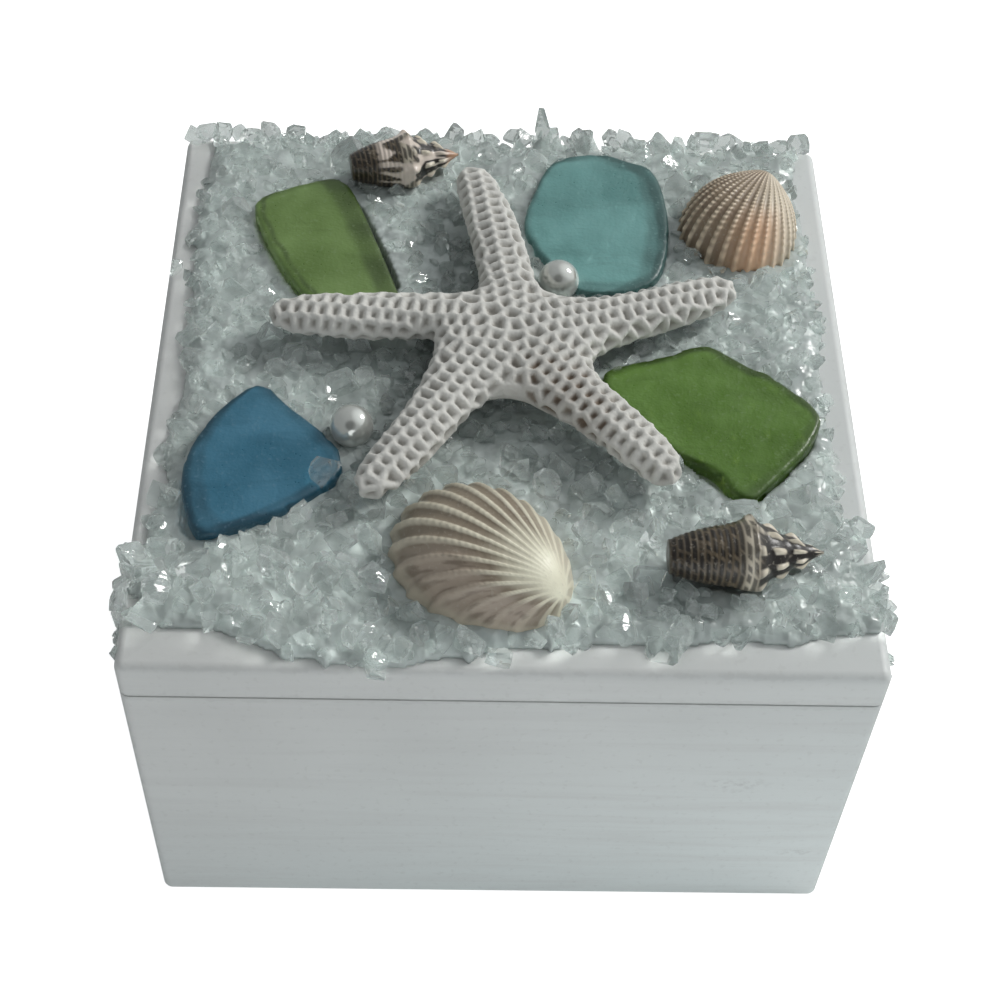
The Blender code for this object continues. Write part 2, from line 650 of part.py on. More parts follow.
def main():
    for item in list(bpy.data.objects):
        bpy.data.objects.remove(item, do_unlink=True)

    box = bpy.data.collections.new("decorative_box")
    cutters = bpy.data.collections.new("decorative_box_cutters")
    bpy.context.scene.collection.children.link(box)
    bpy.context.scene.collection.children.link(cutters)

    paint = new_material("white_painted_wood", (0.80, 0.81, 0.80), 0.55)
    clear_glass = new_material("clear_crushed_glass", (0.80, 0.88, 0.86), 0.08, transmission=0.9)
    leaf_green = new_material("leaf_green_sea_glass", (0.20, 0.38, 0.05), 0.35, transmission=0.4)
    pale_green = new_material("pale_green_sea_glass", (0.28, 0.46, 0.12), 0.35, transmission=0.4)
    aqua = new_material("aqua_sea_glass", (0.17, 0.50, 0.55), 0.35, transmission=0.4)
    blue = new_material("blue_sea_glass", (0.04, 0.26, 0.52), 0.35, transmission=0.4)
    bone = new_material("dried_starfish", (0.78, 0.77, 0.73), 0.85)
    nacre = new_material("white_pearl", (0.82, 0.82, 0.80), 0.18)
    cream = new_material("cream_cockle", (0.62, 0.55, 0.42), 0.45)
    tan = new_material("tan_cockle", (0.50, 0.40, 0.28), 0.50)
    umber = new_material("dark_whelk", (0.16, 0.12, 0.09), 0.40)

    stand = bpy.data.objects.new("box_origin", None)
    stand.hide_render = True
    box.objects.link(stand)

    # Wooden body: a block with rounded upright edges, hollowed from above
    builder = block(BOX_SIDE, BOX_SIDE, 0.0, BODY_HEIGHT)
    round_edges(builder, CORNER_RADIUS, 3, is_upright)
    round_edges(builder, BOTTOM_EDGE_RADIUS, 1, lies_at(0.0))
    body = add_piece("box_body", builder, box, paint, stand)
    inside = BOX_SIDE - 2.0 * WALL
    builder = block(inside, inside, FLOOR, BODY_HEIGHT + CUTTER_OVERRUN)
    hollow = as_cutter(add_piece("hollow_cutter", builder, cutters))
    cut(body, hollow)
    body.data.shade_smooth()
    body.data.set_sharp_from_angle(angle=math.radians(35.0))

    # Lid: a board with a rounded upper edge, and a step below it that drops into the body
    builder = block(BOX_SIDE, BOX_SIDE, LID_UNDERSIDE, LID_TOP)
    round_edges(builder, CORNER_RADIUS, 3, is_upright)
    round_edges(builder, min(LID_EDGE_RADIUS, 0.45 * LID_BOARD), 3, lies_at(LID_TOP))
    lid = add_piece("lid", builder, box, paint, stand)
    step_side = inside - 2.0 * LID_STEP_CLEARANCE
    builder = block(step_side, step_side, LID_UNDERSIDE - LID_STEP_DEPTH, LID_UNDERSIDE + 0.5 * LID_BOARD)
    step = as_cutter(add_piece("lid_step", builder, cutters))
    cut(lid, step, "UNION")
    lid.data.shade_smooth()
    lid.data.set_sharp_from_angle(angle=math.radians(35.0))

    # The starfish lies over the sea glass, and every other piece lies beside the pieces laid before it
    starfish("starfish", box, bone, stand)
    arms = arm_outlines(star_arm_sections())
    laid = []
    pockets = []

    for name, place in (("pearl_back", BACK_PEARL_PLACE), ("pearl_left", LEFT_PEARL_PLACE)):
        centre, outline = slide_clear(pearl_outline, place_on_lid(place), arms)
        laid.append(outline)
        arms.remove(outline)
        pearl(name, centre, box, nacre, stand)
        pockets.append((name, outline))

    shards = (
        ("sea_glass_green_back", GREEN_BACK_PLACE, GREEN_BACK_LENGTH, GREEN_BACK_CORNERS,
         GREEN_BACK_THICKNESS, pale_green),
        ("sea_glass_green_front", GREEN_FRONT_PLACE, GREEN_FRONT_LENGTH, GREEN_FRONT_CORNERS,
         GREEN_FRONT_THICKNESS, leaf_green),
        ("sea_glass_aqua", AQUA_PLACE, AQUA_LENGTH, AQUA_CORNERS, AQUA_THICKNESS, aqua),
        ("sea_glass_blue", BLUE_PLACE, BLUE_LENGTH, BLUE_CORNERS, BLUE_THICKNESS, blue),
    )
    for name, place, length, corners, thickness, material in shards:
        def shard_outline(spot):
            return sea_glass_outline(spot, length, corners)
        spot, outline = slide_clear(shard_outline, place_on_lid(place), laid)
        sea_glass(name, outline, thickness, box, material, stand)
        pockets.append((name, outline))

    laid.extend(arms)
    cockles = (
        ("cockle_front", FRONT_COCKLE_PLACE, 146.0, FRONT_COCKLE_LENGTH, FRONT_COCKLE_WIDTH,
         FRONT_COCKLE_HEIGHT, cream),
        ("cockle_back", BACK_COCKLE_PLACE, 248.0, BACK_COCKLE_LENGTH, BACK_COCKLE_WIDTH,
         BACK_COCKLE_HEIGHT, tan),
    )
    for name, place, heading, length, width, height, material in cockles:
        def cockle_outline(spot):
            rim = cockle_ring(spot, heading, length, width, height, 1.0, cockle_columns() // 2, False)
            return outline_offset([point.xy for point in rim], RIB_HEIGHT)
        spot, outline = slide_clear(cockle_outline, place_on_lid(place), laid)
        cockle(name, spot, heading, length, width, height, box, material, stand)
        pockets.append((name, outline))

    whelks = (
        ("whelk_front", FRONT_WHELK_PLACE, 3.0, FRONT_WHELK_LENGTH, FRONT_WHELK_DIAMETER),
        ("whelk_back", BACK_WHELK_PLACE, 12.0, BACK_WHELK_LENGTH, BACK_WHELK_DIAMETER),
    )
    for name, place, heading, length, diameter in whelks:
        def spindle_outline(spot):
            return whelk_outline(spot, heading, length, diameter)
        spot, outline = slide_clear(spindle_outline, place_on_lid(place), laid)
        whelk(name, spot, heading, length, diameter, box, umber, stand)
        pockets.append((name, outline))

    # Glass bed: chips joined on at its rim, pockets cut down to the film of glue, then trimmed to the lid
    bed = glass_bed("glass_bed", box, clear_glass, stand)
    for lump in edge_chips(cutters):
        cut(bed, lump, "UNION")
    for name, outline in pockets:
        wide = outline_offset(outline, POCKET_CLEARANCE)
        builder = prism(wide, DECK + GLUE_FILM, DECK + SPIKE_CHIP_HEIGHT + CUTTER_OVERRUN)
        cut(bed, as_cutter(add_piece("pocket_" + name, builder, cutters)))
    grown = BOX_SIDE + 2.0 * CONTACT_GAP
    builder = block(grown, grown, LID_UNDERSIDE - CUTTER_OVERRUN, DECK)
    round_edges(builder, CORNER_RADIUS + CONTACT_GAP, 3, is_upright)
    round_edges(builder, min(LID_EDGE_RADIUS, 0.45 * LID_BOARD), 3, lies_at(DECK))
    cut(bed, as_cutter(add_piece("lid_clearance", builder, cutters)))


main()
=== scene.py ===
import math
import random

import bmesh
import bpy
from bpy.props import FloatProperty, FloatVectorProperty, IntProperty, PointerProperty
from bpy.types import Operator, Panel, PropertyGroup
from mathutils import Matrix, Vector, kdtree, noise
from mathutils.bvhtree import BVHTree


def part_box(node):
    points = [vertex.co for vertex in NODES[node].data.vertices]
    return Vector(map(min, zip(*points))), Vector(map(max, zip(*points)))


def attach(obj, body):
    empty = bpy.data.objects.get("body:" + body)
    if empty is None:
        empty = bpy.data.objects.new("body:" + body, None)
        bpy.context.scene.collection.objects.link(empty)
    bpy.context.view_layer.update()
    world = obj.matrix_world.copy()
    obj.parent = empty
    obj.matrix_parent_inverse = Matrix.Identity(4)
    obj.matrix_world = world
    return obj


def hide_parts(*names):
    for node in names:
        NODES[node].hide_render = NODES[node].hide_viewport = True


bl_info = {
    "name": "Shell and Sea Glass Box",
    "version": (1, 0, 0),
    "blender": (4, 5, 0),
    "location": "3D View > Sidebar > Shell Box",
    "description": "Dresses a white trinket box whose lid holds crushed glass, sea glass, shells and a starfish",
    "category": "Object",
}

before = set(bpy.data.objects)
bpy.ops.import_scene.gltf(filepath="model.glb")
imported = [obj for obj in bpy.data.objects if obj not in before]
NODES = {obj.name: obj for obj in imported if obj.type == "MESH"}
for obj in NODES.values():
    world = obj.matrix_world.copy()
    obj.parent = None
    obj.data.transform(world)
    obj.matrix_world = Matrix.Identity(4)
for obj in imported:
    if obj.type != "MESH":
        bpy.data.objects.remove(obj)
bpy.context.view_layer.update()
LID_LOW, LID_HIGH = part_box("lid")
BODY_LOW, BODY_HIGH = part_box("box_body")
SIDE = LID_HIGH.x - LID_LOW.x
HALF = SIDE / 2.0
DECK = LID_HIGH.z
MM = 0.001
DOWN = Vector((0.0, 0.0, -1.0))

# Between the body's rim and the lid board, round the lid's step, and between the spots of the glue's grid
CONTACT_GAP = 0.0003
LID_STEP_PLAY = 0.0005
GLUE_PITCH = 0.0004

ORNAMENTS = (
    "sea_glass_green_back", "sea_glass_green_front", "sea_glass_aqua", "sea_glass_blue",
    "pearl_back", "pearl_left", "cockle_front", "cockle_back", "whelk_front", "whelk_back",
)

# Beads along each rib of a cockle, whorls of a whelk's spire, and knobs round each whorl
BEADS = 26.0
WHORLS = 7.0
KNOBS = 9.0

# Starfish: its middle on the lid, and each arm's direction in degrees and its length
STAR_MIDDLE = Vector((0.006 * SIDE, 0.010 * SIDE))
STAR_ARMS = ((99.2, 0.0366), (171.4, 0.0348), (234.0, 0.0337), (-46.8, 0.0328), (20.2, 0.0353))


# ---------------------------------------------------------------- node trees


class Wiring:
    """Adds nodes to one tree and joins them, so that a finish reads as a row of steps."""

    def __init__(self, tree):
        self.tree = tree

    def feed(self, socket, value):
        if isinstance(value, bpy.types.NodeSocket):
            self.tree.links.new(value, socket)
        elif isinstance(value, tuple) and len(value) == 3 and socket.type == "RGBA":
            socket.default_value = (*value, 1.0)
        else:
            socket.default_value = value

    def node(self, kind, settings=(), inputs=()):
        made = self.tree.nodes.new(kind)
        for key, value in dict(settings).items():
            setattr(made, key, value)
        for key, value in dict(inputs).items():
            self.feed(made.inputs[key], value)
        return made

    def math(self, operation, *values):
        made = self.node("ShaderNodeMath", {"operation": operation})
        for number, value in enumerate(values):
            self.feed(made.inputs[number], value)
        return made.outputs[0]

    def mix(self, share, low, high):
        made = self.node("ShaderNodeMix", {"data_type": "RGBA"})
        self.feed(made.inputs[0], share)
        self.feed(made.inputs[6], low)
        self.feed(made.inputs[7], high)
        return made.outputs[2]

    def lay(self, tone, mask, share, color):
        """Lay a colour over a tone where a mask says, at most at this share."""
        return self.mix(self.math("MULTIPLY", mask, share), tone, color)

    def spread(self, value, low, high, new_low=0.0, new_high=1.0):
        made = self.node("ShaderNodeMapRange", {"interpolation_type": "SMOOTHSTEP"})
        for name, number in zip(("From Min", "From Max", "To Min", "To Max"), (low, high, new_low, new_high)):
            self.feed(made.inputs[name], number)
        self.feed(made.inputs["Value"], value)
        return made.outputs["Result"]

    def noise(self, where, scale, detail=3.0, roughness=0.55, distortion=0.0):
        made = self.node("ShaderNodeTexNoise", {}, {
            "Vector": where, "Scale": scale, "Detail": detail, "Roughness": roughness, "Distortion": distortion,
        })
        return made.outputs["Fac"]

    def stretched(self, where, scale):
        made = self.node("ShaderNodeMapping")
        self.feed(made.inputs["Vector"], where)
        made.inputs["Scale"].default_value = scale
        return made.outputs["Vector"]

    def vector(self, operation, first, second, output=0):
        made = self.node("ShaderNodeVectorMath", {"operation": operation})
        self.feed(made.inputs[0], first)
        if second is not None:
            self.feed(made.inputs[1], second)
        return made.outputs[output]

    def bump(self, height, strength, distance):
        made = self.node("ShaderNodeBump", {}, {"Height": height, "Strength": strength, "Distance": distance})
        return made.outputs["Normal"]


def new_group(name, inputs, outputs):
    """A new node group with these sockets, and its wiring, inputs and outputs."""
    group = bpy.data.node_groups.new(name, "ShaderNodeTree")
    for socket_name, kind, value in inputs:
        socket = group.interface.new_socket(socket_name, in_out="INPUT", socket_type=kind)
        if value is not None:
            socket.default_value = value
    for socket_name in outputs:
        group.interface.new_socket(socket_name, in_out="OUTPUT", socket_type="NodeSocketFloat")
    wire = Wiring(group)
    return group, wire, wire.node("NodeGroupInput").outputs, wire.node("NodeGroupOutput").inputs


def weathering_group():
    """Broad clouding, fine specks and a grain height, for every finish."""
    if "weathering" in bpy.data.node_groups:
        return bpy.data.node_groups["weathering"]
    group, wire, given, result = new_group("weathering", (
        ("Place", "NodeSocketVector", None),
        ("Broad Scale", "NodeSocketFloat", 40.0),
        ("Fine Scale", "NodeSocketFloat", 500.0),
    ), ("Clouds", "Specks", "Grain"))
    broad = wire.noise(given["Place"], given["Broad Scale"], 2.0, 0.6)
    fine = wire.noise(given["Place"], given["Fine Scale"], 1.0, 0.6)
    wire.feed(result["Clouds"], wire.spread(broad, 0.32, 0.68))
    wire.feed(result["Specks"], wire.spread(fine, 0.60, 0.74))
    wire.feed(result["Grain"], wire.math("MULTIPLY_ADD", broad, 0.6, fine))
    return group


def box_edge_group():
    """How near a spot of the square box is to one of its edges, broken up as worn paint is."""
    if "box_edge" in bpy.data.node_groups:
        return bpy.data.node_groups["box_edge"]
    group, wire, given, result = new_group("box_edge", (
        ("Place", "NodeSocketVector", None),
        ("Half Side", "NodeSocketFloat", HALF),
        ("Low", "NodeSocketFloat", 0.0),
        ("High", "NodeSocketFloat", 0.05),
        ("Width", "NodeSocketFloat", 0.001),
    ), ("Edge", "Worn"))
    parts = wire.node("ShaderNodeSeparateXYZ", {}, {"Vector": given["Place"]}).outputs
    across = wire.math("SUBTRACT", given["Half Side"], wire.math("ABSOLUTE", parts["X"]))
    along = wire.math("SUBTRACT", given["Half Side"], wire.math("ABSOLUTE", parts["Y"]))
    above = wire.math("ABSOLUTE", wire.math("SUBTRACT", parts["Z"], given["Low"]))
    below = wire.math("ABSOLUTE", wire.math("SUBTRACT", given["High"], parts["Z"]))
    upright = wire.math("MINIMUM", above, below)
    least = wire.math("MINIMUM", across, along)
    most = wire.math("MAXIMUM", across, along)
    second = wire.math("MAXIMUM", least, wire.math("MINIMUM", most, upright))
    edge = wire.math("SUBTRACT", 1.0, wire.math("DIVIDE", second, given["Width"]))
    edge = wire.math("MAXIMUM", edge, 0.0)
    rough = wire.noise(given["Place"], 420.0, 2.0, 0.65)
    worn = wire.spread(wire.math("MULTIPLY_ADD", edge, 0.55, wire.math("MULTIPLY", rough, 0.75)), 0.68, 0.80)
    wire.feed(result["Edge"], edge)
    wire.feed(result["Worn"], wire.math("MULTIPLY", worn, wire.spread(edge, 0.0, 0.3)))
    return group


def use_group(wire, group, inputs):
    """Put a shared group into a material, and give back its outputs."""
    made = wire.node("ShaderNodeGroup", {"node_tree": group})
    for name, value in inputs.items():
        wire.feed(made.inputs[name], value)
    return made.outputs


def weathering(wire, place, broad, fine):
    """The shared weathering, at one finish's own broad and fine scales."""
    return use_group(wire, weathering_group(), {"Place": place, "Broad Scale": broad, "Fine Scale": fine})


def shaded(color, share, lift=0.0):
    """A colour made darker or lighter, and kept in the range of colours."""
    return tuple(min(1.0, c * share + lift) for c in color)


def finish_named(name, **plain):
    """A new material, its wiring, its shader and the object coordinates that its patterns follow."""
    material = bpy.data.materials.new(name)
    material.use_nodes = True
    shader = material.node_tree.nodes["Principled BSDF"]
    for key, value in plain.items():
        shader.inputs[key.replace("_", " ")].default_value = value
    wire = Wiring(material.node_tree)
    place = wire.node("ShaderNodeTexCoord").outputs["Object"]
    return material, wire, shader, place


def attribute(wire, name, output="Fac"):
    """What a mesh attribute says at each spot."""
    return wire.node("ShaderNodeAttribute", {"attribute_name": name}).outputs[output]


def join_surface(wire, shader, tone, grain, roughness, height, strength, distance):
    """Join a colour, a roughness that follows the grain, and fine relief to a shader."""
    wire.feed(shader.inputs["Base Color"], tone)
    wire.feed(shader.inputs["Roughness"], wire.spread(grain, 0.4, 1.2, *roughness))
    wire.feed(shader.inputs["Normal"], wire.bump(height, strength, distance))


def paint_finish(name, color, low, high):
    """White brushed paint on wood, with faint strokes, a worn edge, small scuffs, and painted light that makes it
    lighter and bluer toward the right and the bottom.
    """
    material, wire, shader, place = finish_named(name, Coat_Weight=0.08, Coat_Roughness=0.35)
    weather = weathering(wire, place, 26.0, 900.0)
    edge = use_group(wire, box_edge_group(), {
        "Place": place, "Half Side": HALF, "Low": low, "High": high, "Width": 0.0016,
    })
    strokes = wire.noise(wire.stretched(place, (18.0, 18.0, 260.0)), 1.6, 5.0, 0.6, 0.4)
    tone = wire.mix(weather["Clouds"], shaded(color, 0.93), color)
    # Painted light: the paint is made lighter and bluer toward the right and toward the bottom, where more light
    # falls
    parts = wire.node("ShaderNodeSeparateXYZ", {}, {"Vector": place}).outputs
    painted_light_slope = wire.math("SUBTRACT", wire.math("MULTIPLY", parts["X"], 0.45), parts["Z"])
    painted_light_tone = tuple(min(1.0, c * k) for c, k in zip(color, (1.10, 1.16, 1.17)))
    tone = wire.mix(wire.spread(painted_light_slope, -0.075, 0.020), tone, painted_light_tone)
    tone = wire.mix(wire.spread(strokes, 0.40, 0.75, 0.0, 0.35), tone, shaded(color, 0.88))
    # Two small scuffs on the front
    marks = 0.0
    for spot, size in (((0.0337, -0.051, 0.0347), 0.0042), ((0.0462, -0.051, 0.0145), 0.0026)):
        offset = wire.vector("SUBTRACT", place, spot)
        far = wire.vector("LENGTH", wire.stretched(offset, (0.55, 1.0, 1.6)), None, "Value")
        near = wire.spread(far, 0.0, size, 1.0, 0.0)
        rough = wire.spread(wire.noise(place, 900.0, 3.0), 0.42, 0.62)
        marks = wire.math("MAXIMUM", marks, wire.math("MULTIPLY", near, rough))
    tone = wire.lay(tone, marks, 0.30, shaded(color, 0.55))
    tone = wire.lay(tone, edge["Worn"], 0.22, shaded(color, 0.72))
    tone = wire.lay(tone, weather["Specks"], 0.12, (0.45, 0.45, 0.43))
    height = wire.math("ADD", wire.math("MULTIPLY", strokes, 0.8), wire.math("MULTIPLY", weather["Grain"], 0.35))
    join_surface(wire, shader, tone, weather["Grain"], (0.42, 0.62), height, 0.35, 0.00012)
    return material


def let_light_in(wire, shader, share):
    """Let part of the light pass through a glass piece to whatever lies under it."""
    shadow = wire.node("ShaderNodeLightPath").outputs["Is Shadow Ray"]
    wire.feed(shader.inputs["Alpha"], wire.math("SUBTRACT", 1.0, wire.math("MULTIPLY", shadow, share)))


def glue_finish(name, color):
    """Hardened milky glue: pale, wet and mottled by what is sunk in it."""
    material, wire, shader, place = finish_named(name, IOR=1.47, Coat_Weight=0.35, Coat_Roughness=0.06)
    weather = weathering(wire, place, 150.0, 620.0)
    flecks = wire.node("ShaderNodeTexVoronoi", {"feature": "F1"}, {"Vector": place, "Scale": 430.0}).outputs
    shade = wire.spread(flecks["Distance"], 0.1, 0.75, 1.0, 0.0)
    tone = wire.mix(weather["Clouds"], shaded(color, 0.78), color)
    tone = wire.lay(tone, shade, 0.35, shaded(color, 1.25))
    tone = wire.lay(tone, weather["Specks"], 0.25, shaded(color, 0.62))
    height = wire.math("ADD", wire.math("MULTIPLY", flecks["Distance"], 0.9), weather["Grain"])
    join_surface(wire, shader, tone, weather["Grain"], (0.12, 0.34), height, 0.55, 0.0005)
    return material


def chip_finish(name, color):
    """Crushed clear glass: bright broken faces, see-through by plain values, each chip a little different."""
    material, wire, shader, place = finish_named(name, IOR=1.5, Transmission_Weight=0.84)
    tint = attribute(wire, "tint")
    tone = wire.mix(tint, shaded(color, 0.82), shaded(color, 1.06))
    wire.feed(shader.inputs["Base Color"], tone)
    wire.feed(shader.inputs["Roughness"], wire.spread(tint, 0.0, 1.0, 0.16, 0.03))
    flaws = wire.noise(wire.stretched(place, (1.0, 1.6, 1.0)), 620.0, 1.0, 0.6, 0.0)
    wire.feed(shader.inputs["Normal"], wire.bump(flaws, 0.45, 0.0003))
    return material


def sea_glass_finish(name, color):
    """Tumbled glass: a frosted top over deeper glass, a rim and edge bands painted darker as painted shade, milky
    clouds, fine pits and scratches.
    """
    material, wire, shader, place = finish_named(name, IOR=1.5, Transmission_Weight=0.42, Coat_Weight=0.10,
                                                 Coat_Roughness=0.25)
    weather = weathering(wire, place, 95.0, 1500.0)
    painted_edge_shade = shaded(color, 0.36)
    milky = shaded(color, 1.12, 0.045)
    streaks = wire.noise(wire.stretched(place, (1.0, 3.2, 1.0)), 60.0, 4.0, 0.6, 1.2)
    tone = wire.mix(weather["Clouds"], shaded(color, 0.86), milky)
    tone = wire.mix(wire.spread(streaks, 0.50, 0.66, 0.0, 0.45), tone, shaded(color, 0.72))
    # Painted shade: the glass is darkened at its rim, where it is seen edge on, and in bands along its edges
    tone = wire.mix(attribute(wire, "rim"), tone, painted_edge_shade)
    tone = wire.lay(tone, weather["Specks"], 0.30, shaded(color, 1.0, 0.16))
    height = wire.math("ADD", weather["Grain"], streaks)
    join_surface(wire, shader, tone, weather["Grain"], (0.26, 0.50), height, 0.45, 0.00016)
    let_light_in(wire, shader, 0.45)
    return material


def starfish_finish(name, color):
    """Dried starfish: chalky ridges, pits painted grey as painted shade, and brown stains that on one arm also paint
    its shade.
    """
    material, wire, shader, place = finish_named(name)
    weather = weathering(wire, place, 90.0, 1400.0)
    tone = wire.mix(weather["Clouds"], shaded(color, 0.90), color)
    # Painted shade: the pits are painted grey, darker than the ridges, as shade in these hollows
    pit = attribute(wire, "pit")
    tone = wire.lay(tone, pit, 0.75, (0.27, 0.25, 0.22))
    # Brown stain colour, which on the right front arm also stands in for painted shade on its lower-left side
    tone = wire.mix(attribute(wire, "stain"), tone, (0.16, 0.11, 0.07))
    join_surface(wire, shader, tone, weather["Grain"], (0.72, 0.95), weather["Grain"], 0.6, 0.00025)
    return material


def shell_finish(name, gloss):
    """Shell whose colours are laid on its own growth lines, with fine lines and a dull gloss."""
    material, wire, shader, place = finish_named(name, Coat_Weight=0.15, Coat_Roughness=0.25)
    weather = weathering(wire, place, 260.0, 1800.0)
    tone = attribute(wire, "shell_color", "Color")
    tone = wire.lay(tone, weather["Specks"], 0.25, (0.55, 0.50, 0.42))
    shade = wire.node("ShaderNodeMix", {"data_type": "RGBA", "blend_type": "MULTIPLY"})
    shade.inputs[0].default_value = 0.35
    wire.feed(shade.inputs[6], tone)
    wire.feed(shade.inputs[7], wire.mix(weather["Clouds"], (0.75, 0.73, 0.70), (1.0, 1.0, 1.0)))
    roughness = (gloss * 0.8, gloss * 1.3)
    join_surface(wire, shader, shade.outputs[2], weather["Grain"], roughness, weather["Grain"], 0.4, 0.0001)
    return material


def pearl_finish(name, color):
    """Pearl bead: pale nacre with slow bands of cooler and warmer tone under a clear coat."""
    material, wire, shader, place = finish_named(name, Coat_Weight=0.9, Coat_Roughness=0.04, Sheen_Weight=0.15)
    weather = weathering(wire, place, 180.0, 2500.0)
    tone = wire.mix(weather["Clouds"], shaded(color, 0.9), color)
    bands = wire.spread(wire.noise(wire.stretched(place, (1.0, 1.0, 4.0)), 260.0, 2.0), 0.4, 0.6)
    tone = wire.lay(tone, bands, 0.3, (0.70, 0.74, 0.72))
    join_surface(wire, shader, tone, weather["Grain"], (0.10, 0.18), weather["Grain"], 0.1, 0.00005)
    wire.feed(shader.inputs["Metallic"], wire.spread(weather["Clouds"], 0.0, 1.0, 0.50, 0.62))
    return material


# ---------------------------------------------------------------- mesh helpers


def add_piece(name, builder, material, slot, *replaced, sharp=None):
    """Turn a finished bmesh into a piece that rides with the box and stands for its CAD nodes."""
    mesh = bpy.data.meshes.new(name)
    builder.to_mesh(mesh)
    builder.free()
    if not len(mesh.polygons):
        raise RuntimeError("%s came out empty" % name)
    mesh.materials.append(material)
    piece = bpy.data.objects.new(name, mesh)
    bpy.context.scene.collection.objects.link(piece)
    if sharp is None:
        mesh.shade_flat()
    else:
        mesh.shade_smooth()
        if sharp < 180.0:
            mesh.set_sharp_from_angle(angle=math.radians(sharp))
    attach(piece, "root")
    if replaced:
        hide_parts(*replaced)
    return piece


def merged_copy(*names):
    """The CAD solids of these nodes in one bmesh, their loose triangles joined."""
    builder = bmesh.new()
    for name in names:
        builder.from_mesh(NODES[name].data)
    bmesh.ops.remove_doubles(builder, verts=builder.verts, dist=1e-6)
    return builder


def even_mesh(builder, voxel):
    """A solid remade as an even mesh of small quads, ready for fine relief."""
    rough_mesh = bpy.data.meshes.new("rough_solid")
    builder.to_mesh(rough_mesh)
    builder.free()
    rough = bpy.data.objects.new("rough_solid", rough_mesh)
    bpy.context.scene.collection.objects.link(rough)
    modifier = rough.modifiers.new("Even mesh", "REMESH")
    modifier.mode = "VOXEL"
    modifier.voxel_size = voxel
    modifier.adaptivity = 0.0
    even = rough.evaluated_get(bpy.context.evaluated_depsgraph_get())
    mesh = bpy.data.meshes.new_from_object(even)
    builder = bmesh.new()
    builder.from_mesh(mesh)
    bpy.data.objects.remove(rough, do_unlink=True)
    bpy.data.meshes.remove(mesh)
    bpy.data.meshes.remove(rough_mesh)
    return builder


def smooth(builder, rounds, factor=0.5, verts=None, upright=True):
    """Even out the mesh, or only these vertices of it, and only in plan where upright is off."""
    for _ in range(rounds):
        bmesh.ops.smooth_vert(
            builder, verts=verts or builder.verts[:], factor=factor,
            use_axis_x=True, use_axis_y=True, use_axis_z=upright,
        )


def open_edges(builder):
    """The edges round the mesh's holes."""
    return [edge for edge in builder.edges if edge.is_boundary]


def only_verts(geometry):
    """The vertices out of what an operator gives back."""
    return [item for item in geometry if isinstance(item, bmesh.types.BMVert)]


def directions(degrees):
    """The level direction at this angle from the right, and the one square to it."""
    angle = math.radians(degrees)
    along = Vector((math.cos(angle), math.sin(angle), 0.0))
    return along, Vector((-along.y, along.x, 0.0))


def relief(builder, height_at):
    """Move each vertex along its normal by the height that a function gives for it."""
    builder.normal_update()
    moves = [vertex.normal * height_at(vertex) for vertex in builder.verts]
    for vertex, move in zip(builder.verts, moves):
        vertex.co += move
    builder.normal_update()


def step(low, high, value):
    """A smooth step from 0 at low to 1 at high."""
    share = max(0.0, min(1.0, (value - low) / (high - low)))
    return share * share * (3.0 - 2.0 * share)


def blend(low, high, share):
    """A colour between two, at a share of the way."""
    return tuple(a + (b - a) * share for a, b in zip(low, high))


def wobble(point, scale, offset=0.0):
    """Smooth noise at a point, about -1 to 1."""
    return noise.noise(Vector((point.x * scale + offset, point.y * scale - offset, point.z * scale)))


def wrapped_grid(builder, columns, rings, place_at):
    """A grid rolled up: its columns run round and its rings run along, each vertex where place_at puts it."""
    made = bmesh.ops.create_grid(builder, x_segments=columns, y_segments=rings, size=0.5)["verts"]
    shares = []
    for vertex in made:
        turn, share = vertex.co.x + 0.5, vertex.co.y + 0.5
        shares.append((vertex, turn, share))
        vertex.co = place_at(turn % 1.0 if turn < 0.99999 else 0.0, share)
    return shares


def plain_block(low, high):
    """A block between two corners."""
    builder = bmesh.new()
    bmesh.ops.create_cube(builder, size=1.0)
    bmesh.ops.scale(builder, vec=high - low, verts=builder.verts)
    bmesh.ops.translate(builder, vec=(low + high) / 2.0, verts=builder.verts)
    return builder


def push_face(builder, face, inset, rise):
    """Inset a face of a block and move what is left of it, to hollow the block or to raise a step on it."""
    bmesh.ops.inset_region(builder, faces=[face], thickness=inset, use_even_offset=True)
    pushed = bmesh.ops.extrude_discrete_faces(builder, faces=[face])["faces"][0]
    bmesh.ops.translate(builder, verts=pushed.verts, vec=(0.0, 0.0, rise))


def round_off(builder, radius, segments, test):
    """Round off the edges that pass a test."""
    edges = [edge for edge in builder.edges if test(edge)]
    bmesh.ops.bevel(
        builder, geom=edges, offset=radius, segments=segments, affect="EDGES", profile=0.5, material=-1,
        clamp_overlap=True,
    )


def upright(reach):
    """A test for the upright edges farther out than reach."""
    def test(edge):
        first, second = edge.verts[0].co, edge.verts[1].co
        return abs(first.z - second.z) > 0.003 and abs(first.x) > reach and abs(first.y) > reach
    return test


def level(height, reach=0.0, limit=1.0):
    """A test for the level edges at this height, from reach to limit out."""
    def test(edge):
        first, second = edge.verts[0].co, edge.verts[1].co
        out = min(max(abs(first.x), abs(first.y)), max(abs(second.x), abs(second.y)))
        return abs(first.z - height) < 1e-6 and abs(second.z - height) < 1e-6 and reach < out < limit
    return test


# ---------------------------------------------------------------- settings


class WoodSettings(PropertyGroup):
    paint: FloatVectorProperty(
        name="Paint", description="Colour of the painted wood", default=(0.72, 0.73, 0.72), size=3,
        subtype="COLOR", min=0.0, max=1.0)
    wall: FloatProperty(
        name="Wall", description="Thickness of the box's walls", default=0.0060, unit="LENGTH", min=0.002)
    floor: FloatProperty(
        name="Floor", description="Thickness of the box's floor", default=0.0050, unit="LENGTH", min=0.002)
    corner: FloatProperty(
        name="Corner", description="Radius of the upright corners", default=0.0014, unit="LENGTH", min=0.0002)
    lid_edge: FloatProperty(
        name="Lid edge", description="Radius of the lid's upper edge", default=0.0017, unit="LENGTH", min=0.0002)


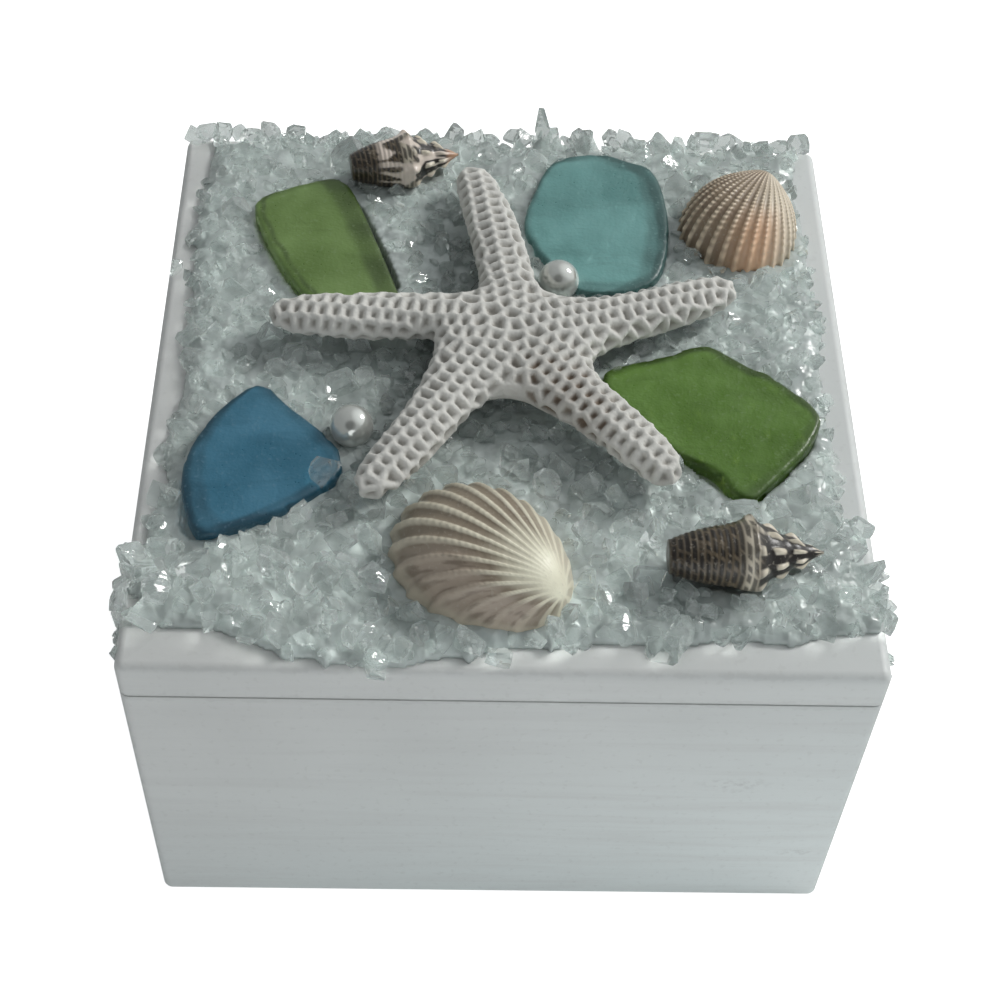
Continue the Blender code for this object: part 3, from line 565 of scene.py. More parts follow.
class CrushedGlassSettings(PropertyGroup):
    tint: FloatVectorProperty(
        name="Glass", description="Colour of the crushed glass", default=(0.86, 0.905, 0.89), size=3,
        subtype="COLOR", min=0.0, max=1.0)
    glue: FloatVectorProperty(
        name="Glue", description="Colour of the glue between the chips", default=(0.50, 0.555, 0.54), size=3,
        subtype="COLOR", min=0.0, max=1.0)
    tries: IntProperty(
        name="Chips tried", description="Number of places tried for a chip", default=9000, min=100)
    smallest: FloatProperty(
        name="Smallest chip", description="Width of the smallest chips", default=0.0018, unit="LENGTH")
    largest: FloatProperty(
        name="Largest chip", description="Width of the largest chips", default=0.0050, unit="LENGTH")


class StarfishSettings(PropertyGroup):
    color: FloatVectorProperty(
        name="Skeleton", description="Colour of the dried starfish", default=(0.75, 0.74, 0.70), size=3,
        subtype="COLOR", min=0.0, max=1.0)
    pitch: FloatProperty(
        name="Pit pitch", description="Distance between the pits of its net", default=0.00205, unit="LENGTH")
    ridge: FloatProperty(
        name="Ridge", description="Height of the ridges between the pits", default=0.00035, unit="LENGTH")
    pit: FloatProperty(
        name="Pit", description="Depth of the pits", default=0.00062, unit="LENGTH")


class SeaGlassSettings(PropertyGroup):
    green_back: FloatVectorProperty(
        name="Back green", description="Colour of the back green piece", default=(0.235, 0.39, 0.095), size=3,
        subtype="COLOR", min=0.0, max=1.0)
    green_front: FloatVectorProperty(
        name="Front green", description="Colour of the front green piece", default=(0.135, 0.305, 0.010), size=3,
        subtype="COLOR", min=0.0, max=1.0)
    aqua: FloatVectorProperty(
        name="Aqua", description="Colour of the aqua piece", default=(0.22, 0.52, 0.50), size=3,
        subtype="COLOR", min=0.0, max=1.0)
    blue: FloatVectorProperty(
        name="Blue", description="Colour of the blue piece", default=(0.05, 0.27, 0.42), size=3,
        subtype="COLOR", min=0.0, max=1.0)
    waviness: FloatProperty(
        name="Waviness", description="Height of the waves left by the sea", default=0.00018, unit="LENGTH")


class ShellSettings(PropertyGroup):
    ribs: IntProperty(
        name="Ribs", description="Ribs of a cockle shell, all round", default=21, min=5)
    rib_height: FloatProperty(
        name="Rib height", description="Height of a cockle's ribs", default=0.00045, unit="LENGTH")
    wall: FloatProperty(
        name="Shell wall", description="Thickness of a cockle shell", default=0.0010, unit="LENGTH")
    knob: FloatProperty(
        name="Knob", description="Height of the knobs on a whelk's spire", default=0.00060, unit="LENGTH")


class PearlSettings(PropertyGroup):
    color: FloatVectorProperty(
        name="Nacre", description="Colour of the pearls", default=(0.74, 0.75, 0.71), size=3,
        subtype="COLOR", min=0.0, max=1.0)


class StageSettings(PropertyGroup):
    floor: FloatVectorProperty(
        name="Floor", description="Colour of the floor", default=(0.92, 0.92, 0.92), size=3,
        subtype="COLOR", min=0.0, max=1.0)
    key: FloatProperty(
        name="Key light", description="Strength of the light from the back right", default=3.3, unit="POWER")
    fill: FloatProperty(
        name="Front fill", description="Strength of the soft light on the front", default=2.35, unit="POWER")
    sky: FloatProperty(
        name="Sky", description="Strength of the even light all round", default=0.36, min=0.0)


GROUPS = {
    "shell_box_wood": WoodSettings,
    "shell_box_crushed_glass": CrushedGlassSettings,
    "shell_box_starfish": StarfishSettings,
    "shell_box_sea_glass": SeaGlassSettings,
    "shell_box_shells": ShellSettings,
    "shell_box_pearls": PearlSettings,
    "shell_box_stage": StageSettings,
}


# ---------------------------------------------------------------- wood


class SHELL_BOX_OT_painted_wood(Operator):
    """Make the hollow painted body and its lid"""

    bl_idname = "shell_box.painted_wood"
    bl_label = "Painted Box and Lid"

    def execute(self, context):
        wood = context.scene.shell_box_wood
        color = tuple(wood.paint)
        corner = HALF - 0.001
        outside = HALF - 0.003

        builder = plain_block(BODY_LOW, BODY_HIGH)
        top = max(builder.faces, key=lambda face: face.calc_center_median().z)
        push_face(builder, top, wood.wall, wood.floor - (BODY_HIGH.z - BODY_LOW.z))
        round_off(builder, wood.corner, 6, upright(corner))
        round_off(builder, 0.0006, 3, level(BODY_LOW.z, outside))
        round_off(builder, 0.0003, 2, level(BODY_HIGH.z, outside))
        round_off(builder, 0.0004, 2, level(BODY_HIGH.z, 0.0, outside))
        bmesh.ops.recalc_face_normals(builder, faces=builder.faces)
        finish = paint_finish("white_box_paint", color, BODY_LOW.z, BODY_HIGH.z)
        add_piece("painted_body", builder, finish, "painted_wood", "box_body", sharp=40.0)

        underside = BODY_HIGH.z + CONTACT_GAP
        builder = plain_block(Vector((-HALF, -HALF, underside)), Vector((HALF, HALF, LID_HIGH.z)))
        bottom = min(builder.faces, key=lambda face: face.calc_center_median().z)
        push_face(builder, bottom, wood.wall + LID_STEP_PLAY, LID_LOW.z - underside)
        round_off(builder, wood.corner, 6, upright(corner))
        round_off(builder, wood.lid_edge, 6, level(LID_HIGH.z, outside))
        round_off(builder, 0.0003, 2, level(underside, outside))
        round_off(builder, 0.0003, 2, level(LID_LOW.z))
        bmesh.ops.recalc_face_normals(builder, faces=builder.faces)
        finish = paint_finish("white_lid_paint", color, underside, LID_HIGH.z)
        add_piece("painted_lid", builder, finish, "lid_paint", "lid", sharp=40.0)
        return {"FINISHED"}


# ---------------------------------------------------------------- crushed glass


def tree_of(*names):
    """A tree of the surfaces of these CAD nodes, to find what lies where."""
    builder = merged_copy(*names)
    tree = BVHTree.FromBMesh(builder)
    builder.free()
    return tree


def chip_shape(dice):
    """One chip of broken glass: a cube with its corners and sides split off along flat faces."""
    builder = bmesh.new()
    bmesh.ops.create_cube(builder, size=1.0)
    for _ in range(dice.randint(8, 11)):
        normal = Vector((dice.uniform(-1.0, 1.0), dice.uniform(-1.0, 1.0), dice.uniform(-1.0, 1.0))).normalized()
        cut = bmesh.ops.bisect_plane(
            builder, geom=builder.verts[:] + builder.edges[:] + builder.faces[:], dist=1e-5,
            plane_co=normal * dice.uniform(0.33, 0.50), plane_no=normal, clear_outer=True,
        )["geom_cut"]
        edges = [item for item in cut if isinstance(item, bmesh.types.BMEdge)]
        if edges:
            bmesh.ops.contextual_create(builder, geom=edges)
    bmesh.ops.recalc_face_normals(builder, faces=builder.faces)
    mesh = bpy.data.meshes.new("chip_shape")
    builder.verts.layers.float.new("tint")
    builder.to_mesh(mesh)
    builder.free()
    return mesh


def lay_chip(builder, shape, middle, size, turn, tint):
    """Add one chip to a layer, at its size and turned its own way."""
    chip = shape.copy()
    chip.transform(Matrix.Translation(middle) @ turn.to_4x4() @ Matrix.Diagonal((*size, 1.0)))
    chip.attributes["tint"].data.foreach_set("value", [tint] * len(chip.vertices))
    builder.from_mesh(chip, face_normals=False, vertex_normals=False)
    bpy.data.meshes.remove(chip)


def chip_turn(dice, tilt):
    """A random turn on the spot, tilted at most this much."""
    return (
        Matrix.Rotation(dice.uniform(0.0, math.tau), 3, "Z")
        @ Matrix.Rotation(dice.uniform(-tilt, tilt), 3, "X")
        @ Matrix.Rotation(dice.uniform(-tilt, tilt), 3, "Y")
    )


def around(i, j):
    """The four neighbours of a spot of the grid."""
    return ((i - 1, j), (i + 1, j), (i, j - 1), (i, j + 1))


def lay_of_the_glass(ornaments, count):
    """How high the glass stands above the lid over an even grid, and the spots of the grid under an ornament."""
    bed = tree_of("glass_bed")
    heights = {}
    covered = set()
    for i in range(count + 1):
        for j in range(count + 1):
            above = Vector(((i - count / 2.0) * GLUE_PITCH, (j - count / 2.0) * GLUE_PITCH, DECK + 0.03))
            found = bed.ray_cast(above, DOWN)[0]
            if found is None or found.z < DECK - 0.0005:
                continue
            heights[i, j] = found.z - DECK
            if ornaments.ray_cast(above, DOWN)[0] is not None:
                covered.add((i, j))
    for _ in range(2):
        thin = [key for key in heights if sum(near in heights for near in around(*key)) < 3]
        for key in thin:
            heights.pop(key)
    return heights, covered


def close_gaps(heights, covered):
    """Fill the gap round each ornament, so that the glue dips only under the ornament itself."""
    pocket = {key for key, height in heights.items() if height < 0.0009}
    inside = covered & pocket
    for _ in range(2):
        inside = {key for key in inside if all(near in inside for near in around(*key))}
    open_spots = {key for key in heights if key not in pocket}
    missing = pocket - inside
    while missing:
        filled = {}
        for key in missing:
            known = [heights[near] for near in around(*key) if near in open_spots]
            if known:
                filled[key] = sum(known) / len(known)
        if not filled:
            break
        heights.update(filled)
        open_spots |= set(filled)
        missing -= set(filled)
    for _ in range(4):
        fresh = {}
        for key in open_spots:
            known = [heights[near] for near in around(*key) if near in open_spots]
            fresh[key] = 0.5 * heights[key] + 0.5 * sum(known) / max(1, len(known))
        heights.update(fresh)
    return inside


def rings_from_edge(heights):
    """How many steps of the grid each spot lies from the edge of the glue."""
    depth = {}
    edge = [key for key in heights if any(near not in heights for near in around(*key))]
    for ring in range(12):
        for key in edge:
            depth[key] = ring
        edge = list({near for key in edge for near in around(*key) if near in heights and near not in depth})
    return depth


def glue_surface(ornaments):
    """The glue: a pitted sheet over the lid with a skirt down to it, thin at its edge."""
    count = int(SIDE / GLUE_PITCH)
    heights, covered = lay_of_the_glass(ornaments, count)
    inside = close_gaps(heights, covered)
    depth = rings_from_edge(heights)
    builder = bmesh.new()
    bmesh.ops.create_grid(builder, x_segments=count, y_segments=count, size=count * GLUE_PITCH / 2.0)
    spots = {}
    for vertex in builder.verts:
        spots[vertex] = tuple(round(place / GLUE_PITCH + count / 2.0) for place in (vertex.co.x, vertex.co.y))
    bmesh.ops.delete(builder, geom=[v for v in builder.verts if spots[v] not in heights], context="VERTS")
    for vertex in builder.verts:
        key = spots[vertex]
        if key in inside:
            vertex.co.z = DECK + 0.00022
            continue
        rim = math.sqrt(min(1.0, (depth.get(key, 12) + 0.5) / 5.0))
        height = 0.0007 + 0.52 * heights[key]
        height += 0.00030 * wobble(vertex.co, 300.0) + 0.00025 * wobble(vertex.co, 800.0, 3.0)
        vertex.co.z = DECK + max(0.0003, height * rim)
    smooth(builder, 3, verts=[vertex for vertex in builder.verts if vertex.is_boundary], upright=False)
    skirt = bmesh.ops.extrude_edge_only(builder, edges=open_edges(builder))
    for vertex in only_verts(skirt["geom"]):
        vertex.co.z = DECK + 0.00005
    bmesh.ops.holes_fill(builder, edges=open_edges(builder), sides=0)
    bmesh.ops.recalc_face_normals(builder, faces=builder.faces)
    return builder


def strew_chips(builder, dice, shapes, surface, ornaments, star, glass):
    """Lay two layers of chips on the glue, clear of the ornaments and of each other."""
    for small, large, tries, crowd, lift in (
            (glass.smallest, glass.largest * 0.62, glass.tries, 0.56, 0.02),
            (glass.smallest * 1.3, glass.largest, glass.tries // 2, 0.40, 0.34)):
        taken = {}
        for _ in range(tries):
            x = dice.uniform(-HALF, HALF)
            y = dice.uniform(-HALF, HALF)
            # Toward the front the chips are larger and stand higher
            front = 1.0 - step(-0.036, -0.004, y)
            size = small + (large - small) * dice.random() ** (2.4 - 1.2 * front)
            flat = dice.uniform(0.50, 0.85)
            wide = dice.uniform(0.68, 1.0)
            turn = chip_turn(dice, 0.8)
            shape = dice.choice(shapes)
            tint = dice.random()
            above = Vector((x, y, DECK + 0.03))
            found = surface.ray_cast(above, DOWN)[0]
            if found is None or found.z < DECK + 0.00035 or ornaments.ray_cast(above, DOWN)[0] is not None:
                continue
            middle = Vector((x, y, found.z + size * flat * (lift - 0.10 + 0.16 * front)))
            if ornaments.find_nearest(middle)[3] < size * 0.36 or star.find_nearest(middle)[3] < size * 0.42:
                continue
            column, row = int((x + 1.0) / large), int((y + 1.0) / large)
            close = [item for i in (-1, 0, 1) for j in (-1, 0, 1) for item in taken.get((column + i, row + j), ())]
            spot = Vector((x, y))
            if any((spot - other).length < crowd * (size + breadth) for other, breadth in close):
                continue
            taken.setdefault((column, row), []).append((spot, size))
            lay_chip(builder, shape, middle, Vector((size, size * wide, size * flat)), turn, tint)


def edge_spots(dice):
    """Where chips hang over the lid's sides, line its back edge or lie alone on its bare border."""
    spots = []
    for side, shares in ((-1.0, (-0.425, -0.398, -0.372, -0.345, -0.318)), (1.0, (-0.420, -0.392, -0.365, -0.338))):
        for share in shares:
            x = side * (HALF - dice.uniform(-0.0003, 0.0008))
            spots.append((Vector((x, share * SIDE, DECK + dice.uniform(-0.0002, 0.0010))), 0.0030))
    spots.append((Vector((-HALF + 0.0012, 0.205 * SIDE, DECK + 0.0006)), 0.0024))
    for _ in range(9):
        for side in (-1.0, 1.0):
            y = dice.uniform(-0.0500, -0.0385)
            lump = Vector((side * (HALF - 0.0001), y, DECK - dice.uniform(0.0008, 0.0066)))
            spots.append((lump, dice.uniform(0.0012, 0.0023)))
    for x, y, size in ((0.0213, -0.0470, 0.0048), (0.0084, -0.0468, 0.0036), (-0.0008, -0.0490, 0.0034),
                       (0.0286, -0.0455, 0.0030), (-0.0170, -0.0500, 0.0040), (-0.0248, -0.0214, 0.0044)):
        lift = 0.0046 if y > -0.03 else 0.0012
        spots.append((Vector((x, y, DECK + lift)), size))
    for number in range(44):
        share = -0.485 + 0.97 * number / 43.0 + dice.uniform(-0.006, 0.006)
        y = HALF - dice.uniform(0.0006, 0.0022)
        spots.append((Vector((share * SIDE, y, DECK + dice.uniform(0.0006, 0.0026))), dice.uniform(0.0024, 0.0040)))
    return spots


class SHELL_BOX_OT_crushed_glass(Operator):
    """Spread the glue on the lid and set the crushed glass in it"""

    bl_idname = "shell_box.crushed_glass"
    bl_label = "Crushed Glass and Glue"

    def execute(self, context):
        glass = context.scene.shell_box_crushed_glass
        ornaments = tree_of(*ORNAMENTS)
        builder = glue_surface(ornaments)
        surface = BVHTree.FromBMesh(builder)
        finish = glue_finish("milky_glue", tuple(glass.glue))
        add_piece("glue_bed", builder, finish, "crushed_glass", "glass_bed", sharp=180.0)

        # The clear chips cast no hard shadow on the glue, as light goes through them
        clear = chip_finish("clear_crushed_glass", tuple(glass.tint))
        dice = random.Random(2207)
        shapes = [chip_shape(dice) for _ in range(30)]
        builder = bmesh.new()
        strew_chips(builder, dice, shapes, surface, ornaments, tree_of("starfish"), glass)
        add_piece("glass_chips", builder, clear, "crushed_glass").visible_shadow = False

        builder = bmesh.new()
        for spot, size in edge_spots(dice):
            lay_chip(builder, dice.choice(shapes), spot, Vector((size, size * 0.82, size * 0.7)),
                     chip_turn(dice, 0.9), dice.random())
        lean = Matrix.Rotation(math.radians(-14.0), 3, "Y")
        spike = Vector((0.063 * SIDE, HALF - 0.0018, DECK + 0.0044))
        lay_chip(builder, shapes[3], spike, Vector((0.0024, 0.0017, 0.0098)), lean, 0.3)
        add_piece("glass_edge_chips", builder, clear, "crushed_glass").visible_shadow = False
        for shape in shapes:
            bpy.data.meshes.remove(shape)
        return {"FINISHED"}


# ---------------------------------------------------------------- starfish


def star_seeds(builder, pitch):
    """The middles of the starfish's pits: staggered rows along each arm, then even cover elsewhere."""
    tree = BVHTree.FromBMesh(builder)
    seeds = []
    cells = {}
    row_pitch = pitch * 0.92

    def add(point, room):
        key = tuple(int(math.floor(c / pitch)) for c in point)
        near = ((key[0] + i, key[1] + j, key[2] + k) for i in (-1, 0, 1) for j in (-1, 0, 1) for k in (-1, 0, 1))
        if all((other - point).length >= room for cell in near for other in cells.get(cell, ())):
            cells.setdefault(key, []).append(point)
            seeds.append(point)

    for direction, reach in STAR_ARMS:
        along, across = (way.to_2d() for way in directions(direction))
        for number in range(2, int(reach / row_pitch)):
            for row in (-1.0, 0.0, 1.0):
                run = (number + (0.5 if row == 0.0 else 0.0)) * row_pitch
                spot = STAR_MIDDLE + along * run + across * row * pitch * 0.98
                found = tree.ray_cast(Vector((spot.x, spot.y, 0.1)), DOWN)[0]
                if found is not None:
                    add(found, pitch * 0.80)
    dice = random.Random(515)
    for vertex in dice.sample(list(builder.verts), min(9000, len(builder.verts))):
        add(vertex.co.copy(), pitch * 0.88)
    return seeds


class SHELL_BOX_OT_starfish(Operator):
    """Cover the starfish with its net of ridges and pits"""

    bl_idname = "shell_box.starfish"
    bl_label = "Starfish"

    def execute(self, context):
        star = context.scene.shell_box_starfish
        builder = even_mesh(merged_copy("starfish"), 0.00025)
        smooth(builder, 2)
        seeds = star_seeds(builder, star.pitch)
        finder = kdtree.KDTree(len(seeds))
        for number, seed in enumerate(seeds):
            finder.insert(seed, number)
        finder.balance()
        pit_shade_layer = builder.verts.layers.float.new("pit")
        stain_and_shade_layer = builder.verts.layers.float.new("stain")
        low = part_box("starfish")[0].z
        # The bare crotch between the two front arms, and the brown patches along the lower-left side of the right
        # one: stain colour that also paints the shade on that side
        crotch = Vector((STAR_MIDDLE.x + 0.0005, STAR_MIDDLE.y - 0.0105, low + 0.0015))
        stain_and_shade_way, stain_and_shade_reach = STAR_ARMS[3]
        along = directions(stain_and_shade_way)[0].to_2d()
        stain_and_shade_spots = [Vector((*(STAR_MIDDLE + along * stain_and_shade_reach * share), low + 0.0040))
                   + Vector((-0.0016, -0.0012, 0.0)) for share in (0.30, 0.42, 0.56)]

        def net(vertex):
            point = vertex.co
            wavy = point + Vector((wobble(point, 500.0), wobble(point, 500.0, 7.0), 0.0)) * 0.00015
            first, second, third = finder.find_n(wavy, 3)
            side = (second[2] ** 2 - first[2] ** 2) / (2.0 * max(1e-6, (seeds[second[1]] - seeds[first[1]]).length))
            ridge = 1.0 - step(0.0, 0.00085, side)
            knob = math.exp(-((third[2] - first[2]) / 0.00042) ** 2)
            bowl = step(0.00034, 0.00098, side)
            bare = step(0.0020, 0.0052, (point - crotch).length)
            under = step(low + 0.0003, low + 0.0012, point.z)
            # Painted shade mask: where the grey of the pits darkens the hollows
            vertex[pit_shade_layer] = bowl * bare * under
            # Stain and painted shade: brown patches along the lower-left side of the right front arm, strongest in
            # the pits
            patch = max(math.exp(-(((point - spot).length) / 0.0042) ** 2) for spot in stain_and_shade_spots)
            speckle = 0.75 + 0.9 * wobble(point, 420.0, 2.0)
            vertex[stain_and_shade_layer] = max(0.0, min(0.85, patch * (0.25 + 1.1 * bowl) * speckle * 1.3))
            grain = 0.00004 * wobble(point, 2600.0)
            return ((ridge * star.ridge + knob * 0.00016 - bowl * star.pit) * bare * under) + grain

        relief(builder, net)
        smooth(builder, 2, 0.5)
        finish = starfish_finish("dried_starfish", tuple(star.color))
        add_piece("netted_starfish", builder, finish, "dried_starfish", "starfish", sharp=180.0)
        return {"FINISHED"}


# ---------------------------------------------------------------- sea glass


# For each piece of sea glass: its CAD node, its name, its slot, its setting, its outline in millimetres from the
# middle of the lid, and its bands of painted shade. A band has the direction in degrees to the side that it follows,
# where it starts and ends from that side in millimetres, and how dark it is; below zero it paints a lighter line.
SEA_GLASS = (
    ("sea_glass_green_back", "frosted_green_back", "pale_green_glass", "green_back", (
        (-39.4, 32.7), (-33.5, 36.0), (-27.3, 38.6), (-24.5, 37.7), (-22.1, 32.1), (-19.1, 23.9), (-15.0, 12.4),
        (-15.2, 10.6), (-27.5, 10.4), (-31.7, 15.5), (-36.0, 23.8),
    ), ((15.0, 0.0, 3.4, 0.75), (200.0, 0.9, 1.6, 0.9), (200.0, 0.0, 0.6, -0.6), (110.0, 0.0, 1.0, 0.4))),
    ("sea_glass_green_front", "frosted_green_front", "leaf_green_glass", "green_front", (
        (14.1, -2.1), (15.6, -0.5), (21.2, 1.2), (24.5, 2.1), (26.3, 3.3), (29.3, 4.1), (30.8, 3.8), (33.7, 1.5),
        (36.4, -0.5), (38.3, -0.9), (41.2, -4.1), (44.1, -6.6), (45.3, -9.2), (45.0, -10.7), (43.1, -14.8),
        (39.8, -18.5), (35.7, -23.2), (34.2, -24.6), (32.3, -24.1), (30.8, -22.2), (30.1, -20.5), (27.9, -18.4),
        (25.8, -17.9), (23.4, -16.0), (21.2, -13.5), (17.1, -8.8), (14.6, -5.1),
    ), ((50.0, 0.0, 1.6, 0.9), (105.0, 0.0, 1.4, 0.8), (-45.0, 0.0, 1.8, 0.5), (225.0, 0.0, 0.9, 0.5))),
    ("sea_glass_aqua", "frosted_aqua", "aqua_glass", "aqua", (
        (3.0, 29.8), (4.9, 36.7), (6.7, 41.8), (9.1, 44.3), (16.7, 45.4), (20.3, 43.4), (23.1, 42.6), (24.8, 39.2),
        (25.7, 32.0), (25.4, 24.5), (23.8, 18.1), (20.4, 14.9), (14.4, 14.2), (9.9, 15.0), (6.3, 20.5), (3.9, 24.8),
    ), ((0.0, 0.0, 3.4, 0.6), (45.0, 0.0, 2.6, 0.6), (100.0, 0.0, 1.2, 0.5), (180.0, 0.0, 1.0, 0.4),
        (-80.0, 0.0, 2.2, 0.5))),
    ("sea_glass_blue", "frosted_blue", "blue_glass", "blue", (
        (-44.6, -23.3), (-44.0, -17.2), (-40.7, -10.0), (-34.9, -3.8), (-30.7, -9.0), (-25.5, -13.7),
        (-22.4, -17.9), (-22.5, -21.3), (-25.5, -24.1), (-30.8, -28.0), (-36.1, -30.7), (-40.9, -32.6),
        (-43.1, -29.5),
    ), ((215.0, 0.0, 3.4, 0.6), (180.0, 0.0, 1.2, 0.6), (45.0, 0.0, 1.0, 0.5), (-65.0, 0.0, 1.2, 0.6),
        (0.0, 0.0, 2.4, 0.35))),
)


def outline_slab(outline, low, high, edge_radius):
    """A slab of glass with this outline, its upper and lower edges worn round."""
    builder = bmesh.new()
    builder.faces.new([builder.verts.new((x * MM, y * MM, low)) for x, y in outline])
    bmesh.ops.subdivide_edges(builder, edges=builder.edges[:], cuts=2)
    smooth(builder, 1, 0.6, upright=False)
    raised = bmesh.ops.extrude_face_region(builder, geom=builder.faces[:])["geom"]
    bmesh.ops.translate(builder, verts=only_verts(raised), vec=(0.0, 0.0, high - low))
    bmesh.ops.recalc_face_normals(builder, faces=builder.faces)
    round_off(builder, edge_radius, 3, lambda edge: abs(edge.verts[0].co.z - edge.verts[1].co.z) < 1e-7)
    return builder


def edge_shade_and_wear(builder, solid, bands, height, waviness, offset):
    """Paint shade on a piece of glass where it is seen edge on and in bands along its edges, and give it waves and
    nicks.
    """
    edge_shade_layer = builder.verts.layers.float.new("rim")

    def worn(vertex):
        point = vertex.co
        rim = 1.0 - step(0.55, 0.97, vertex.normal.z)
        inside = Vector((point.x, point.y, height))
        # Painted shade: darker where the surface leans away from the top and in each band; a band below zero paints
        # a lighter line
        dark = 0.45 * rim
        for direction, start, end, strength in bands:
            start *= MM
            end *= MM
            distance = solid.ray_cast(inside, directions(direction)[0])[3] or 0.0
            distance += 0.0004 * wobble(point, 300.0, offset)
            soft = 0.0002 + 0.15 * (end - start)
            window = 1.0 - step(end - soft, end + soft, distance)
            if start > 0.0:
                window *= step(start - 0.0003, start + 0.0003, distance)
            dark += strength * window
        vertex[edge_shade_layer] = max(0.0, min(1.0, dark * (0.85 + 0.6 * wobble(point, 240.0, offset))))
        wave = waviness * wobble(point, 110.0, offset) + waviness * 0.4 * wobble(point, 420.0, offset)
        nick = step(0.25, 0.50, wobble(point, 420.0, offset + 5.0)) * rim * 0.00035
        return wave - nick

    relief(builder, worn)


class SHELL_BOX_OT_sea_glass(Operator):
    """Make the four frosted pieces of sea glass"""

    bl_idname = "shell_box.sea_glass"
    bl_label = "Sea Glass"

    def execute(self, context):
        sea = context.scene.shell_box_sea_glass
        for number, (node, name, slot, setting, outline, bands) in enumerate(SEA_GLASS):
            low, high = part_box(node)
            slab = outline_slab(outline, low.z, high.z, 0.0006)
            solid = BVHTree.FromBMesh(slab)
            builder = even_mesh(slab, 0.00034)
            smooth(builder, 1)
            edge_shade_and_wear(builder, solid, bands, (low.z + high.z) / 2.0, sea.waviness, 11.0 * (number + 1))
            finish = sea_glass_finish(slot + "_finish", tuple(getattr(sea, setting)))
            add_piece(name, builder, finish, slot, node, sharp=180.0)
        return {"FINISHED"}


# ---------------------------------------------------------------- pearls


class SHELL_BOX_OT_pearls(Operator):
    """Make the two pearls"""

    bl_idname = "shell_box.pearls"
    bl_label = "Pearls"

    def execute(self, context):
        finish = pearl_finish("white_pearl", tuple(context.scene.shell_box_pearls.color))
        for name, node in (("nacre_pearl_back", "pearl_back"), ("nacre_pearl_left", "pearl_left")):
            low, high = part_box(node)
            builder = bmesh.new()
            bmesh.ops.create_uvsphere(builder, u_segments=48, v_segments=28, radius=(high.z - low.z) / 2.0)
            bmesh.ops.translate(builder, verts=builder.verts, vec=(low + high) / 2.0)
            relief(builder, lambda vertex: 0.00003 * wobble(vertex.co, 300.0))
            add_piece(name, builder, finish, "pearl", node, sharp=180.0)
        return {"FINISHED"}


# ---------------------------------------------------------------- cockles


def cockle_surface(beak, heading, length, width, height, seat, ribs, rib_height, wall, bead, reach):
    """Functions that give a cockle's outer and inner side at a turn round it and a share of its growth."""
    forward, across = directions(heading)
    beak = beak.to_3d() - forward * (reach - 0.47) * length

    def plan(turn, growth):
        broad = 1.0 - 0.12 * math.cos(turn)
        out = (reach - 0.53 * math.cos(turn)) * length
        aside = 0.5 * width * math.sin(turn) * broad
        run = (out * growth - reach * length) / (0.53 * length)
        side = math.sin(turn) * growth
        dome = math.sqrt(max(0.0, 1.0 - math.hypot(run, side) ** 2.3))
        umbo = 0.16 * math.exp(-((out * growth - 0.07 * length) ** 2 + (aside * growth) ** 2) / (0.17 * length) ** 2)
        return out, aside, dome + umbo * (1.0 - growth)

    def outer(share, grown):
        growth = 0.02 + 0.98 * grown
        turn = math.tau * share
        out, aside, dome = plan(turn, growth)
        fan = max(0.0, 1.0 - math.exp(-5.0 * (1.0 - math.cos(turn)) / 2.0))
        crest = (0.5 - 0.5 * math.cos(math.tau * ribs * share)) ** 1.7
        strength = fan * step(0.05, 0.40, growth)
        rib = rib_height * (1.6 * crest - 0.7) * (0.25 + 0.75 * growth) * strength
        beads = bead * rib_height * math.cos(math.tau * BEADS * growth) * strength * crest
        lines = -0.12 * rib_height * step(0.6, 0.95, math.sin(math.tau * 7.0 * growth ** 1.5))
        rise = rib + beads + lines
        swell = 1.0 + rise / max(0.002, math.hypot(out, aside))
        flat = beak + (forward * out + across * aside) * growth * swell
        return Vector((flat.x, flat.y, seat + dome * height * (1.0 + 0.6 * rise / height)))

    def inner(share, grown):
        growth = 0.24 + 0.76 * grown
        out, aside, dome = plan(math.tau * share, growth)
        middle = beak + forward * reach * length * growth
        flat = beak + (forward * out + across * aside) * growth
        spoke = Vector((flat.x - middle.x, flat.y - middle.y, 0.0))
        place = middle + spoke * max(0.15, 1.0 - wall / max(1e-5, spoke.length))
        return Vector((place.x, place.y, max(seat, seat + dome * height - wall)))

    return outer, inner


def front_cockle_color(share, growth, wave, point):
    """Cream ribs and beads, grooves and the gaps between beads painted dark as painted shade, a pale umbo and a
    brown patch on the left.
    """
    share = 1.0 - share
    cream = (0.86, 0.81, 0.65)
    painted_groove_shade = (0.27, 0.22, 0.16)
    # Painted shade: the grooves between the ribs and the gaps between the beads are painted dark
    crest = step(-0.45, 0.55, wave + 0.25 * wobble(point, 900.0))
    color = blend(painted_groove_shade, cream, crest)
    beads = 0.5 + 0.5 * math.cos(math.tau * BEADS * growth)
    color = blend(color, blend(cream, painted_groove_shade, 0.5), 0.35 * (1.0 - beads) * crest)
    dull = step(0.45, 0.85, growth) * 0.30
    color = blend(color, (0.36, 0.31, 0.24), dull)
    umbo = 1.0 - step(0.14, 0.50, growth + 0.06 * wobble(point, 300.0))
    color = blend(color, (0.98, 0.95, 0.76), umbo)
    right = 1.0 - step(0.20, 0.34, share) + step(0.93, 0.98, share)
    color = blend(color, (0.90, 0.85, 0.68), 0.55 * min(1.0, right))
    side = step(0.56, 0.66, share) * (1.0 - step(0.86, 0.95, share)) * step(0.42, 0.66, growth)
    streak = step(0.05, 0.40, noise.noise(Vector((share * 95.0, growth * 7.0, 4.0))))
    patch = blend((0.44, 0.36, 0.29), (0.15, 0.11, 0.08), 0.65 * streak)
    color = blend(color, patch, 0.85 * side)
    margin = step(0.93, 0.985, growth + 0.02 * wobble(point, 700.0))
    return blend(color, (0.62, 0.55, 0.44), margin * 0.8)


